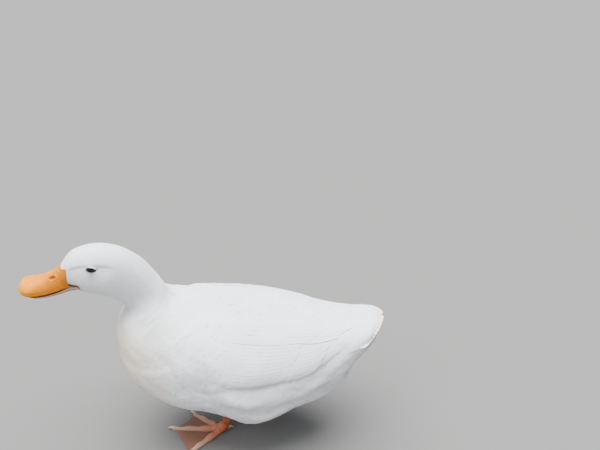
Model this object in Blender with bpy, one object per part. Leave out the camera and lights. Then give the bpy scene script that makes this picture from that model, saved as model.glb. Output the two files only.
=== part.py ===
"""German Pekin duck, a life-size still model standing on both feet.

Metres, +Z up. The duck faces +X, and +Y is its left. The floor is Z = 0.

The flesh (tail, torso, neck and head) is one smooth form, lofted between a back line and a
belly line and parted with thin flat cuts. Wings, tail and feet carry their own forms.
"""

import math

import bmesh
import bpy
import numpy as np
from mathutils import Matrix, Vector

GAP = 0.0003
FEATHER_SOLVER = "MANIFOLD"

# Each station is: back line x, back line z, belly line x, belly line z, half width, and
# how high between the two lines the section is widest (0 to 1).
STATIONS = {
    "tail_tip": (-0.105, 0.1850, -0.1035, 0.1790, 0.0110, 0.50),
    "tail_mid": (-0.0865, 0.1855, -0.0800, 0.1510, 0.0320, 0.62),
    "tail_root": (-0.0620, 0.1835, -0.0575, 0.1030, 0.0450, 0.62),
    "rump": (-0.0300, 0.1840, -0.0285, 0.0700, 0.0590, 0.57),
    "hind_belly": (0.0100, 0.1890, 0.0060, 0.0580, 0.0740, 0.51),
    "mid_body": (0.0600, 0.1970, 0.0570, 0.0450, 0.0865, 0.48),
    "fore_body": (0.1050, 0.2045, 0.1100, 0.0550, 0.0852, 0.48),
    "shoulder": (0.1380, 0.2095, 0.1665, 0.0630, 0.0780, 0.48),
    "breast": (0.1555, 0.2135, 0.2155, 0.0970, 0.0660, 0.48),
    "breast_front": (0.1615, 0.2175, 0.2318, 0.1485, 0.0510, 0.48),
    "neck_root": (0.1648, 0.2220, 0.2282, 0.1820, 0.0385, 0.50),
    "neck_base": (0.1685, 0.2300, 0.2195, 0.1975, 0.0310, 0.50),
    "neck": (0.1770, 0.2470, 0.2175, 0.2050, 0.0265, 0.50),
    "nape": (0.1925, 0.2715, 0.2230, 0.2130, 0.0250, 0.50),
    "occiput": (0.2150, 0.2905, 0.2330, 0.2245, 0.0255, 0.47),
    "crown": (0.2430, 0.2980, 0.2460, 0.2340, 0.0260, 0.45),
    "brow": (0.2695, 0.2925, 0.2585, 0.2380, 0.0228, 0.43),
    "bill_root": (0.2845, 0.2755, 0.2715, 0.2430, 0.0150, 0.48),
}
STATION_NAMES = list(STATIONS)
STATION_ROWS = np.array(list(STATIONS.values()))

# Where the form is parted, in stations counted from the tail tip.
TAIL_CUT = 2.5
NECK_CUT = 10.6
HEAD_CUT = 13.3
LAST_STATION = len(STATIONS) - 1.0

# The head turns a little to the duck's left and tips its left side down, about the neck.
HEAD_TURN = math.radians(12)
HEAD_ROLL = math.radians(-5)
TURN_START = 9.0
TURN_END = 13.5
TURN_AXIS = Vector((0.190, 0.0, 0.0))
ROLL_AXIS_HEIGHT = 0.257

# The feathered thigh swells the flank in front of and above each foot.
THIGH_CENTRE = (0.052, 0.060, 0.062)
THIGH_SWELL = 0.007
THIGH_SPREAD = 0.030
CHEEK_CENTRE = (0.2400, 0.0225, 0.2480)
CHEEK_SWELL = 0.0025
CHEEK_SPREAD = 0.012

TORSO_RINGS = 26
TORSO_SIDES = 32
NECK_RINGS = 7
HEAD_RINGS = 15
HEAD_SIDES = 28
TAIL_RINGS = 7

# Bill, measured in the head's own plane before the head is turned.
BILL_TIP_X = 0.3365
BILL_RINGS = 11
BILL_ARC_POINTS = 10
BILL_RING_BUNCH = 1.25
CULMEN = (
    (0.0, 0.2750), (0.25, 0.2680), (0.45, 0.2636), (0.65, 0.2606),
    (0.82, 0.2590), (0.92, 0.2565), (1.0, 0.2505),
)
TOMIUM = (
    (0.0, 0.2528), (0.12, 0.2512), (0.28, 0.2480), (0.45, 0.2461),
    (0.62, 0.2456), (0.8, 0.2468), (0.92, 0.2479), (1.0, 0.2478),
)
BILL_HALF_WIDTH = (
    (0.0, 0.0138), (0.25, 0.0136), (0.45, 0.0143), (0.65, 0.0156),
    (0.8, 0.0163), (0.9, 0.0143), (0.97, 0.0090), (1.0, 0.0040),
)
BILL_ARCH = ((0.0, 1.15), (0.4, 1.0), (0.8, 0.75), (1.0, 0.8))
PALATE_DEPTH = 0.0022
PALATE_POINTS = 4
PALATE_SHARE = 0.35
LIP = 0.0009
LIP_DROP = 0.6
GAPE_OPENING = 0.0016
GAPE_OPENING_END = 0.6
GAPE_SIZE = (0.0068, 0.0030, 0.0010)
GAPE_PLACE = (0.2705, 0.0148, 0.2503)
GAPE_SLOPE = math.radians(14)
LOWER_BILL_INSET = 0.0017
LOWER_BILL_TIP_X = 0.3325
LOWER_BILL_DEPTH = ((0.0, 0.0110), (0.3, 0.0082), (0.6, 0.0068), (0.8, 0.0054), (1.0, 0.0022))
LOWER_BILL_LEAST_HALF = 0.0028
LOWER_BILL_RIM = 0.0005
LOWER_BILL_ROUNDNESS = 0.8
LOWER_BILL_OVER = 6
LOWER_BILL_UNDER = 8
TROUGH_DEPTH = 0.0012
NOSTRIL_T = 0.27
NOSTRIL_SIZE = (0.0045, 0.0032, 0.0018)
NOSTRIL_HEIGHT = 0.83
NOSTRIL_OUT = 0.60
NOSTRIL_SLOPE = math.radians(24)

# Eyes
EYE_STATION = 15.22
EYE_ANGLE = math.radians(31)
EYE_RADIUS = 0.0076
EYE_DEPTH = 0.0065
EYE_SEGMENTS = 18
EYE_RINGS = 10
LID_THICKNESS = 0.0011
LID_OPENING = (0.0064, 0.0031)
LID_BAR_REACH = (0.0025, 0.0140)
LID_BAR_SIDES = 12
ALMOND_POWER = 1.2

# Wings: stations and angles round the body, where 0 is straight out and 90 the back line.
WING_LOW_EDGE = (
    (0.95, 58), (1.5, 48), (2.0, 40), (2.5, 31), (3.2, 20), (3.8, 20),
    (4.5, 22), (5.3, 20), (6.0, 12), (6.7, 8), (7.3, 24),
)
WING_HIGH_EDGE = (
    (0.95, 68), (1.5, 74), (2.0, 77), (3.0, 79), (4.0, 80), (5.0, 79), (6.0, 74), (6.7, 62), (7.3, 42),
)
WING_FRONT = 7.3
CORE_REAR = 3.45
CORE_ROWS = 13
CORE_COLUMNS = 7
CORE_INSET = 4
CORE_SUNK = 0.004
CORE_EDGE_LOSS = 0.62
CORE_THICKNESS = (
    (3.45, 0.0018), (4.2, 0.0030), (5.0, 0.0042), (5.8, 0.0056), (6.6, 0.0056), (7.0, 0.0040), (7.3, 0.0022),
)

# The lowest and highest line of feathers in each panel, as (station, angle round the body).
FEATHER_LINES = {
    "hand": (((0.95, 50), (1.9, 42), (2.8, 32), (3.75, 28)), ((0.95, 66), (1.9, 62), (2.8, 56), (3.75, 50))),
    "panel": (
        ((2.4, 34), (3.2, 23), (3.8, 21), (4.5, 22), (5.3, 20), (6.2, 14), (7.1, 21)),
        ((2.4, 60), (3.2, 57), (7.1, 57)),
    ),
    "back": (((1.6, 65), (3.0, 65), (7.1, 64)), ((1.6, 75), (3.0, 78), (6.0, 78), (7.1, 72))),
    "over_tail_left": (((0.8, 26), (2.4, 28)), ((0.8, 76), (2.4, 80))),
    "over_tail_right": (((0.8, 154), (2.4, 152)), ((0.8, 104), (2.4, 100))),
    "under_tail_left": (((0.5, -28), (2.4, -22)), ((0.5, -76), (2.4, -80))),
    "under_tail_right": (((0.5, 208), (2.4, 202)), ((0.5, 256), (2.4, 260))),
}

# Feathers that grow in a row: their panel, how many, the station of the lowest and highest root,
# those of the tips, the width, and the height over the body at the root, a third out and the tip.
WING_TIERS = {
    "primaries": ("hand", 5, (3.75, 3.70), (0.95, 1.85), 0.0110, (0.0013, 0.0025, 0.0024)),
    "secondaries": ("panel", 7, (5.60, 5.20), (3.25, 2.45), 0.0150, (0.0016, 0.0031, 0.0052)),
    "tertials": ("back", 3, (5.20, 5.10), (2.30, 1.70), 0.0165, (0.0016, 0.0036, 0.0056)),
    "greater_coverts": ("panel", 7, (6.25, 5.90), (4.55, 3.95), 0.0150, (0.0026, 0.0045, 0.0047)),
    "median_coverts": ("panel", 7, (6.75, 6.45), (5.50, 5.00), 0.0150, (0.0034, 0.0059, 0.0060)),
    "lesser_coverts": ("panel", 7, (7.12, 7.00), (6.30, 5.95), 0.0150, (0.0016, 0.0066, 0.0074)),
    "scapulars": ("back", 3, (6.70, 6.50), (4.30, 3.30), 0.0165, (0.0024, 0.0052, 0.0070)),
}
LONG_VANE = ((0.0, 0.50), (0.30, 0.95), (0.80, 0.95), (1.0, 0.30))
SHORT_VANE = ((0.0, 0.60), (0.62, 1.0), (1.0, 0.36))
VANE_THICKNESS = 0.0008
VANE_EDGE = 0.0005
VANE_STEP = 0.0011
STEEPEST_VANE = 0.30

# Tail: the fan's pairs of feathers from the middle outwards, and the rows over and under it.
FAN_PAIRS = 5
FAN_ROOT = (-0.0555, 0.0035, 0.1700)
FAN_ROOT_STEP = (0.0, 0.0052, -0.0016)
FAN_TIP = (-0.1050, 0.0046, 0.1850)
FAN_TIP_STEP = (0.0020, 0.0092, -0.0016)
FAN_TIP_CURVE = (0.0008, -0.00014, -0.00040)
FAN_WIDTH = 0.0165
FAN_BOW = 0.0012
FAN_SLOPE = 0.04
FAN_SLOPE_STEP = 0.05
TAIL_TIERS = {
    "upper_left": ("over_tail_left", 3, (2.34, 2.34), (0.95, 0.85), 0.0170, (-0.0030, -0.0006, 0.0002)),
    "upper_right": ("over_tail_right", 3, (2.34, 2.34), (0.95, 0.85), 0.0170, (-0.0030, -0.0006, 0.0002)),
    "under_left": ("under_tail_left", 3, (2.34, 2.34), (0.80, 0.52), 0.0220, (-0.0030, 0.0002, 0.0010)),
    "under_right": ("under_tail_right", 3, (2.34, 2.34), (0.80, 0.52), 0.0220, (-0.0030, 0.0002, 0.0010)),
}
TAIL_CORE_END = 1.25
TAIL_CORE_SHRINK = 0.0130
TAIL_CORE_SUNK = 0.001

# Legs and feet. A toe is: name, turn from straight ahead (outwards is positive), length, and
# how far behind and above the joint it is rooted.
TOES = (
    ("inner", -34, 0.0500, 0.0021, 0.0004),
    ("middle", 0, 0.0660, 0.0034, 0.0009),
    ("outer", 48, 0.0600, 0.0012, 0.0),
)
HIND_TOE = ((-0.002, 0.001, 0.0100), (-0.0070, 0.0, 0.0090), (-0.0115, -0.001, 0.0076))
HIND_TOE_RADII = (0.0034, 0.0028, 0.0018)
TOE_RADIUS_START = 0.0050
TOE_RADIUS_END = 0.0026
TOE_STEPS = 8
TOE_SIDES = 8
TOE_RISE_END = 2.2
KNUCKLES = 3
KNUCKLE_SWELL = 0.10
CLAW_LENGTH = 0.0085
HIND_CLAW_LENGTH = 0.0055
CLAW_STEPS = 6
CLAW_SIDES = 6
CLAW_SINK = 0.0022
CLAW_SINK_START = 0.2
CLAW_LIFT = 0.0012
CLAW_TAPER = 0.78
CLAW_TIP = 0.16
CLAW_CLEARANCE = 0.0004
WEB_THICKNESS = 0.0013
WEB_HEIGHT = 0.0013
WEB_HEEL = (-0.004, 0.0)
WEB_REACH = 0.97
WEB_SCALLOP = 0.16
WEB_STEPS = 5
SOLE_CUT = 0.0012
FEET = {
    "left": {"side": 1, "joint": (0.1065, 0.0215), "turn": -3},
    "right": {"side": -1, "joint": (0.0600, 0.0310), "turn": -3},
}
JOINT_HEIGHT = 0.0062
ANKLE = ((0.002, 0, 0.003), (-0.0010, 0, 0.0085), (-0.0045, 0, 0.0135), (-0.0080, 0, 0.0195))
ANKLE_RADII = (0.0058, 0.0070, 0.0060, 0.0052)
SHANK_SIDES = 12
SHANK_STEPS = 7
SHANK_LOW = (-0.0070, 0, 0.0172)
SHANK_TOP = (-0.024, 0.027, 0.078)
SHANK_BOW = 0.003
SHANK_RADIUS = 0.0052
SHANK_WAIST = 0.10
SHANK_WIDENING = 0.0012
SHANK_OVERRUN = 0.006
SHANK_FOOT_CUT = 0.0165
BLOCK_WIDTH = 0.4
BLOCK_HEIGHT = 0.1

COLOURS = {
    "plumage": ((0.90, 0.90, 0.88), 0.75),
    "bill": ((0.90, 0.42, 0.06), 0.38),
    "eye": ((0.02, 0.02, 0.03), 0.08),
    "foot": ((0.80, 0.27, 0.08), 0.50),
    "claw": ((0.78, 0.70, 0.60), 0.40),
}


def clear_scene():
    for old in list(bpy.data.objects):
        bpy.data.objects.remove(old, do_unlink=True)


def make_collection(name):
    made = bpy.data.collections.new(name)
    bpy.context.scene.collection.children.link(made)
    return made


def make_material(name):
    colour, roughness = COLOURS[name]
    made = bpy.data.materials.new(name)
    made.use_nodes = True
    shader = made.node_tree.nodes["Principled BSDF"]
    shader.inputs["Base Color"].default_value = (*colour, 1.0)
    shader.inputs["Roughness"].default_value = roughness
    shader.inputs["Metallic"].default_value = 0.0
    return made


def along(table, t):
    """The value at t of a short table of (t, value) pairs, joined by a smooth curve."""
    xs = [row[0] for row in table]
    ys = [row[1] for row in table]
    i = min(max(int(np.searchsorted(xs, t, side="right")) - 1, 0), len(xs) - 2)
    slopes = np.gradient(ys, xs)
    span = xs[i + 1] - xs[i]
    u = min(max((t - xs[i]) / span, 0.0), 1.0)
    h00 = (1 + 2 * u) * (1 - u) ** 2
    h10 = u * (1 - u) ** 2
    h01 = u * u * (3 - 2 * u)
    h11 = u * u * (u - 1)
    return h00 * ys[i] + h10 * span * slopes[i] + h01 * ys[i + 1] + h11 * span * slopes[i + 1]


def station_row(s):
    """The station values at s, read from a Catmull-Rom curve through the table."""
    i = min(max(int(math.floor(s)), 0), len(STATION_ROWS) - 2)
    u = s - i
    p1, p2 = STATION_ROWS[i], STATION_ROWS[i + 1]
    p0 = STATION_ROWS[i - 1] if i > 0 else 2 * p1 - p2
    p3 = STATION_ROWS[i + 2] if i + 2 < len(STATION_ROWS) else 2 * p2 - p1
    square = 2 * p0 - 5 * p1 + 4 * p2 - p3
    cube = 3 * p1 - p0 - 3 * p2 + p3
    return 0.5 * (2 * p1 + (p2 - p0) * u + square * u**2 + cube * u**3)


def smooth_step(low, high, x):
    u = min(max((x - low) / (high - low), 0.0), 1.0)
    return u * u * (3 - 2 * u)


def turned(point, share):
    """The point after the given share of the head's turn and roll."""
    moved = Vector(point) - TURN_AXIS
    moved.z -= ROLL_AXIS_HEIGHT
    moved = Matrix.Rotation(HEAD_ROLL * share, 3, "X") @ moved
    moved = Matrix.Rotation(HEAD_TURN * share, 3, "Z") @ moved
    moved.z += ROLL_AXIS_HEIGHT
    return moved + TURN_AXIS


def swell(point, centre, height, spread):
    """How far a soft bulge on each side of the body pushes this point outwards."""
    away = Vector((point.x - centre[0], abs(point.y) - centre[1], point.z - centre[2]))
    return height * math.exp(-away.length_squared / (2 * spread**2))


def body_point(s, angle, lift=0.0):
    """A point of the form at station s, angle round the section, lifted off its surface."""
    back_x, back_z, belly_x, belly_z, half_width, level = station_row(s)
    back, belly = Vector((back_x, 0, back_z)), Vector((belly_x, 0, belly_z))
    span = back - belly
    up = span.normalized()
    centre = belly + span * level
    rise = (span.length * (1 - level) if math.sin(angle) > 0 else span.length * level) * math.sin(angle)
    point = centre + up * rise + Vector((0, half_width * math.cos(angle), 0))
    outward = (up * math.sin(angle) + Vector((0, math.cos(angle), 0))).normalized()
    thigh = swell(point, THIGH_CENTRE, THIGH_SWELL, THIGH_SPREAD)
    cheek = swell(point, CHEEK_CENTRE, CHEEK_SWELL, CHEEK_SPREAD)
    place = turned(point + outward * (thigh + cheek), smooth_step(TURN_START, TURN_END, s))
    return place + surface_normal(s, angle) * lift if lift else place


def surface_normal(s, angle):
    step = 0.02
    low, high = max(s - step, 0.0), min(s + step, LAST_STATION)
    forward = body_point(high, angle) - body_point(low, angle)
    round_it = body_point(s, angle + step) - body_point(s, angle - step)
    return round_it.cross(forward).normalized()


def body_ring(s, sides, lift=0.0):
    return [body_point(s, 2 * math.pi * k / sides, lift) for k in range(sides)]


def ring_normal(ring):
    """The direction of a flat ring, towards the bill."""
    quarter = len(ring) // 4
    return (ring[0] - ring[2 * quarter]).cross(ring[quarter] - ring[3 * quarter]).normalized()


def loft(name, rings):
    """A closed skin over rings with equal counts of points, its two ends flat."""
    mesh = bpy.data.meshes.new(name)
    build = bmesh.new()
    rows = [[build.verts.new(p) for p in ring] for ring in rings]
    count = len(rows[0])
    for low, high in zip(rows, rows[1:]):
        for k in range(count):
            build.faces.new((low[k], low[(k + 1) % count], high[(k + 1) % count], high[k]))
    build.faces.new(rows[0][::-1])
    build.faces.new(rows[-1])
    bmesh.ops.triangulate(build, faces=[f for f in build.faces if len(f.verts) > 4])
    bmesh.ops.recalc_face_normals(build, faces=build.faces)
    build.to_mesh(mesh)
    build.free()
    return mesh


def add_object(name, mesh, collection, material):
    made = bpy.data.objects.new(name, mesh)
    collection.objects.link(made)
    if material:
        mesh.materials.append(material)
    mesh.shade_smooth()
    return made


def as_mesh(obj):
    """The object's evaluated mesh as a new object in its place, with the caps of a curve welded."""
    graph = bpy.context.evaluated_depsgraph_get()
    mesh = bpy.data.meshes.new_from_object(obj.evaluated_get(graph))
    mesh.transform(obj.matrix_world)
    welded = bmesh.new()
    welded.from_mesh(mesh)
    bmesh.ops.remove_doubles(welded, verts=welded.verts, dist=1e-6)
    bmesh.ops.recalc_face_normals(welded, faces=welded.faces)
    welded.to_mesh(mesh)
    welded.free()
    name, collection = obj.name, obj.users_collection[0]
    bpy.data.objects.remove(obj)
    return add_object(name, mesh, collection, None)


def apply_boolean(obj, other, operation, solver="EXACT"):
    """Joins, or cuts, obj with another object or a whole collection, and keeps the result."""
    boolean = obj.modifiers.new(operation.lower(), "BOOLEAN")
    boolean.operation = operation
    boolean.solver = solver
    if isinstance(other, bpy.types.Collection):
        boolean.operand_type = "COLLECTION"
        boolean.collection = other
    else:
        boolean.object = other
    bpy.context.view_layer.update()
    graph = bpy.context.evaluated_depsgraph_get()
    mesh = bpy.data.meshes.new_from_object(obj.evaluated_get(graph))
    obj.modifiers.remove(boolean)
    obj.data = mesh
    keep_largest(obj)
    return obj


def keep_largest(obj):
    """Leaves only the closed surface that holds the most volume."""
    build = bmesh.new()
    build.from_mesh(obj.data)
    bmesh.ops.triangulate(build, faces=build.faces)
    left = set(build.faces)
    shells = []
    while left:
        start = left.pop()
        shell, edge = {start}, [start]
        while edge:
            for side in edge.pop().edges:
                for face in side.link_faces:
                    if face in left:
                        left.discard(face)
                        shell.add(face)
                        edge.append(face)
        shells.append(shell)
    shells.sort(key=shell_volume)
    dropped = [face for shell in shells[:-1] for face in shell]
    bmesh.ops.delete(build, geom=dropped, context="FACES")
    build.to_mesh(obj.data)
    build.free()


def shell_volume(shell):
    total = 0.0
    for face in shell:
        a, b, c = (v.co for v in face.verts)
        total += a.dot(b.cross(c)) / 6
    return total


def make_cutter(name, mesh, cutters):
    cutter = add_object(name, mesh, cutters, None)
    cutter.hide_render = True
    cutter.display_type = "WIRE"
    return cutter


def flesh_rings(start, end, count, sides, lift=0.0):
    return [body_ring(start + (end - start) * k / (count - 1), sides, lift) for k in range(count)]


def parted(rings, at_start=0.0, at_end=0.0):
    """Moves the flat end rings inwards, so that neighbours keep a thin gap."""
    first, last = ring_normal(rings[0]), ring_normal(rings[-1])
    rings[0] = [p + first * at_start for p in rings[0]]
    rings[-1] = [p - last * at_end for p in rings[-1]]
    return rings


def make_torso(parts, material):
    rings = parted(flesh_rings(TAIL_CUT, NECK_CUT, TORSO_RINGS, TORSO_SIDES), GAP / 2, GAP / 2)
    return add_object("torso", loft("torso", rings), parts, material)


def make_neck(parts, material):
    rings = parted(flesh_rings(NECK_CUT, HEAD_CUT, NECK_RINGS, HEAD_SIDES), GAP / 2, GAP / 2)
    return add_object("neck", loft("neck", rings), parts, material)


def make_tail(parts, material):
    """A short core that the fan and its covering feathers grow from."""
    rings = []
    for i in range(TAIL_RINGS):
        u = i / (TAIL_RINGS - 1)
        s = TAIL_CORE_END + (TAIL_CUT - TAIL_CORE_END) * u
        depth = TAIL_CORE_SHRINK * (1 - u) ** 1.5 + TAIL_CORE_SUNK * (1 - u**6)
        rings.append(body_ring(s, HEAD_SIDES, -depth))
    tail = add_object("tail", loft("tail", parted(rings, 0.0, GAP / 2)), parts, material)
    feathers = make_collection("tail_feathers")
    for pair in range(FAN_PAIRS):
        for side in (1, -1):
            add_object(f"fan_{pair}_{side}", fan_feather(pair, side), feathers, None)
    for row, tier in TAIL_TIERS.items():
        add_tier(row, tier, SHORT_VANE, 1, feathers)
    apply_boolean(tail, feathers, "UNION", FEATHER_SOLVER)
    empty_collection(feathers)
    return tail


def fan_feather(pair, side):
    root = [FAN_ROOT[k] + FAN_ROOT_STEP[k] * pair for k in range(3)]
    tip = [FAN_TIP[k] + FAN_TIP_STEP[k] * pair + FAN_TIP_CURVE[k] * pair**2 for k in range(3)]
    root, tip = (Vector((x, y * side, z)) for x, y, z in (root, tip))
    over = VANE_STEP * (side < 0)
    ahead = (tip - root).normalized()
    across = Vector((0, 1, -(FAN_SLOPE + FAN_SLOPE_STEP * pair) * side))
    across = (across - ahead * across.dot(ahead)).normalized()
    up = across.cross(ahead)
    up = up if up.z > 0 else -up
    rings = []
    for t, share in LONG_VANE:
        spot = root.lerp(tip, t) + up * (over + FAN_BOW * math.sin(math.pi * t))
        rings.append(vane_ring([spot + across * FAN_WIDTH / 2 * share * k for k in (-1, 0, 1)], [up] * 3))
    return loft("fan_feather", rings)


def vane_ring(line, ups):
    """The section of a feather: three points across it, each with a point over and under."""
    depths = (VANE_EDGE / 2, VANE_THICKNESS / 2, VANE_EDGE / 2)
    over = [p + up * depth for p, up, depth in zip(line, ups, depths)]
    under = [p - up * depth for p, up, depth in zip(line, ups, depths)]
    return over + under[::-1]


def add_tier(name, tier, shape, side, collection):
    """A row of feathers that lie over the body like shingles, each over the next lower one."""
    panel, count, roots, tips, width, lifts = tier
    low_line, high_line = FEATHER_LINES[panel]
    for i in range(count):
        share = i / (count - 1)
        root = roots[0] + (roots[1] - roots[0]) * share
        tip = tips[0] + (tips[1] - tips[0]) * share
        rings = []
        for t, wide in shape:
            s = root + (tip - root) * t
            low, high = math.radians(along(low_line, s)), math.radians(along(high_line, s))
            angle = low + (high - low) * share
            radius = (body_point(s, angle + 0.02) - body_point(s, angle - 0.02)).length / 0.04
            spacing = (high - low) * radius / (count - 1)
            lean = math.copysign(min(VANE_STEP / abs(spacing), STEEPEST_VANE), spacing)
            half = width / 2 * wide
            lift = along(((0.0, lifts[0]), (0.3, lifts[1]), (1.0, lifts[2])), t)
            line, ups = [], []
            for k in (-1, 0, 1):
                around = angle + k * half / radius
                around = around if side > 0 else math.pi - around
                line.append(body_point(s, around, lift - lean * k * half))
                ups.append(surface_normal(s, around))
            rings.append(vane_ring(line, ups))
        add_object(f"{name}_{i}", loft(name, rings), collection, None)


def eye_place(side):
    """Centre of the eyeball and the outward, forward and upward directions there."""
    angle = EYE_ANGLE if side > 0 else math.pi - EYE_ANGLE
    out = surface_normal(EYE_STATION, angle)
    forward = (body_point(EYE_STATION + 0.1, angle) - body_point(EYE_STATION - 0.1, angle)).normalized()
    up = out.cross(forward) * side
    return body_point(EYE_STATION, angle) - out * EYE_DEPTH, out, forward, up.normalized()


def ball(name, radius, segments=EYE_SEGMENTS, rings=EYE_RINGS):
    mesh = bpy.data.meshes.new(name)
    build = bmesh.new()
    bmesh.ops.create_uvsphere(build, u_segments=segments, v_segments=rings, radius=radius)
    build.to_mesh(mesh)
    build.free()
    return mesh


def lid_opening(name, side):
    """An almond-shaped bar that cuts the opening between the lids."""
    centre, out, forward, up = eye_place(side)
    rings = []
    for height in LID_BAR_REACH:
        ring = []
        for i in range(LID_BAR_SIDES):
            a = 2 * math.pi * i / LID_BAR_SIDES
            lift = math.copysign(abs(math.sin(a)) ** ALMOND_POWER, math.sin(a))
            aside = forward * math.cos(a) * LID_OPENING[0] + up * lift * LID_OPENING[1]
            ring.append(centre + out * height + aside)
        rings.append(ring)
    return loft(name, rings)


def make_head(parts, cutters, material):
    rings = parted(flesh_rings(HEAD_CUT, LAST_STATION, HEAD_RINGS, HEAD_SIDES), GAP / 2, 0.0)
    head = add_object("head", loft("head", rings), parts, material)
    for side in (1, -1):
        lids = make_cutter(f"lids_{side}", ball("lids", EYE_RADIUS + GAP + LID_THICKNESS), cutters)
        lids.location = eye_place(side)[0]
        bpy.context.view_layer.update()
        apply_boolean(head, lids, "UNION")
        socket = make_cutter(f"socket_{side}", ball("socket", EYE_RADIUS + GAP), cutters)
        socket.location = eye_place(side)[0]
        bpy.context.view_layer.update()
        opening = make_cutter(f"lid_opening_{side}", lid_opening("lid_opening", side), cutters)
        apply_boolean(head, apply_boolean(socket, opening, "UNION"), "DIFFERENCE")
        apply_boolean(head, make_cutter(f"gape_{side}", gape_cut(side), cutters), "DIFFERENCE")
    return head


def gape_cut(side):
    """A thin wedge that carries the line of the mouth a little way into the cheek."""
    mesh = ball("gape", 1.0, 8, 6)
    mesh.transform(Matrix.Diagonal((*GAPE_SIZE, 1)))
    centre = Vector((GAPE_PLACE[0], side * GAPE_PLACE[1], GAPE_PLACE[2]))
    mesh.transform(Matrix.Rotation(GAPE_SLOPE, 4, "Y"))
    for vertex in mesh.vertices:
        vertex.co = turned(vertex.co + centre, 1.0)
    return mesh


def empty_collection(collection):
    for obj in list(collection.objects):
        bpy.data.objects.remove(obj, do_unlink=True)
    bpy.data.collections.remove(collection)


def make_eyes(parts, material):
    for name, side in (("eye_left", 1), ("eye_right", -1)):
        eye = add_object(name, ball(name, EYE_RADIUS), parts, material)
        eye.location = eye_place(side)[0]


def bill_root_x(z):
    """The plane where feathers meet bill, leaning forwards towards the forehead."""
    back_x, back_z, belly_x, belly_z = STATION_ROWS[-1][:4]
    return belly_x + (back_x - belly_x) * (z - belly_z) / (back_z - belly_z)


def bill_point(t, y, z, tip_x):
    root = bill_root_x(z) + GAP
    return turned((root + (tip_x - root) * t, y, z), 1.0)


def bill_ring_places():
    """Shares of the bill's length, closer together towards the tip."""
    return [1 - (1 - i / (BILL_RINGS - 1)) ** BILL_RING_BUNCH for i in range(BILL_RINGS)]


def make_upper_bill(parts, cutters, material):
    rings = []
    for t in bill_ring_places():
        top, low, wide, arch = (along(table, t) for table in (CULMEN, TOMIUM, BILL_HALF_WIDTH, BILL_ARCH))
        ring = []
        for k in range(BILL_ARC_POINTS + 1):
            a = math.pi * k / BILL_ARC_POINTS
            ring.append((wide * math.cos(a), low + (top - low) * math.sin(a) ** arch))
        inner = wide - LIP
        vault = min(PALATE_DEPTH, (top - low) * PALATE_SHARE)
        for k in range(PALATE_POINTS + 1):
            a = math.pi * (1 - k / PALATE_POINTS)
            ring.append((inner * math.cos(a), low - LIP * LIP_DROP + vault * math.sin(a)))
        rings.append([bill_point(t, y, z, BILL_TIP_X) for y, z in ring])
    bill = add_object("bill_upper", loft("bill_upper", rings), parts, material)
    top, low, wide = (along(table, NOSTRIL_T) for table in (CULMEN, TOMIUM, BILL_HALF_WIDTH))
    height = low + (top - low) * NOSTRIL_HEIGHT
    for side in (1, -1):
        pit = ball("nostril", 1.0, 12, 6)
        pit.transform(Matrix.Diagonal((*NOSTRIL_SIZE, 1)))
        pit.transform(Matrix.Rotation(NOSTRIL_SLOPE, 4, "Y"))
        root = bill_root_x(height) + GAP
        place = Vector((root + (BILL_TIP_X - root) * NOSTRIL_T, side * wide * NOSTRIL_OUT, height))
        for vertex in pit.vertices:
            vertex.co = turned(vertex.co + place, 1.0)
        apply_boolean(bill, make_cutter(f"nostril_{side}", pit, cutters), "DIFFERENCE")
    return bill


def make_lower_bill(parts, material):
    rings = []
    for t in bill_ring_places():
        opening = GAP + LIP + GAPE_OPENING * min(t / GAPE_OPENING_END, 1.0)
        top = along(TOMIUM, t) - opening
        depth = along(LOWER_BILL_DEPTH, t) - LOWER_BILL_RIM
        wide = max(along(BILL_HALF_WIDTH, t) - LOWER_BILL_INSET, LOWER_BILL_LEAST_HALF)
        ring = []
        for k in range(LOWER_BILL_OVER + 1):
            a = math.pi * k / LOWER_BILL_OVER
            ring.append((wide * math.cos(a), top - TROUGH_DEPTH * math.sin(a)))
        for k in range(1, LOWER_BILL_UNDER):
            a = math.pi + math.pi * k / LOWER_BILL_UNDER
            sunk = LOWER_BILL_RIM + depth * abs(math.sin(a)) ** LOWER_BILL_ROUNDNESS
            ring.append((wide * math.cos(a), top - sunk))
        rings.append([bill_point(t, y, z, LOWER_BILL_TIP_X) for y, z in ring])
    return add_object("bill_lower", loft("bill_lower", rings), parts, material)


def wing_core(name, side):
    """The arm and hand of the folded wing, which the feathers grow from."""
    rings = []
    for i in range(CORE_ROWS):
        s = CORE_REAR + (WING_FRONT - CORE_REAR) * i / (CORE_ROWS - 1)
        low, high = along(WING_LOW_EDGE, s) + CORE_INSET, along(WING_HIGH_EDGE, s) - CORE_INSET
        outer, inner = [], []
        for k in range(CORE_COLUMNS):
            v = k / (CORE_COLUMNS - 1)
            angle = math.radians(low + (high - low) * v)
            angle = angle if side > 0 else math.pi - angle
            lift = along(CORE_THICKNESS, s) * (1 - CORE_EDGE_LOSS * abs(2 * v - 1) ** 3)
            outer.append(body_point(s, angle, lift))
            inner.append(body_point(s, angle, -CORE_SUNK))
        rings.append(outer + inner[::-1])
    return loft(name, rings)


def make_wings(parts, cutters, material):
    rings = flesh_rings(TAIL_CUT, NECK_CUT, TORSO_RINGS, TORSO_SIDES, GAP)
    body = make_cutter("body_space", loft("body_space", rings), cutters)
    for name, side in (("wing_left", 1), ("wing_right", -1)):
        wing = add_object(name, wing_core(name, side), parts, material)
        apply_boolean(wing, body, "DIFFERENCE")
        feathers = make_collection(f"{name}_feathers")
        for row, tier in WING_TIERS.items():
            shape = LONG_VANE if row in ("primaries", "secondaries", "tertials", "scapulars") else SHORT_VANE
            add_tier(row, tier, shape, side, feathers)
        apply_boolean(wing, feathers, "UNION", FEATHER_SOLVER)
        empty_collection(feathers)
    return body


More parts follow.
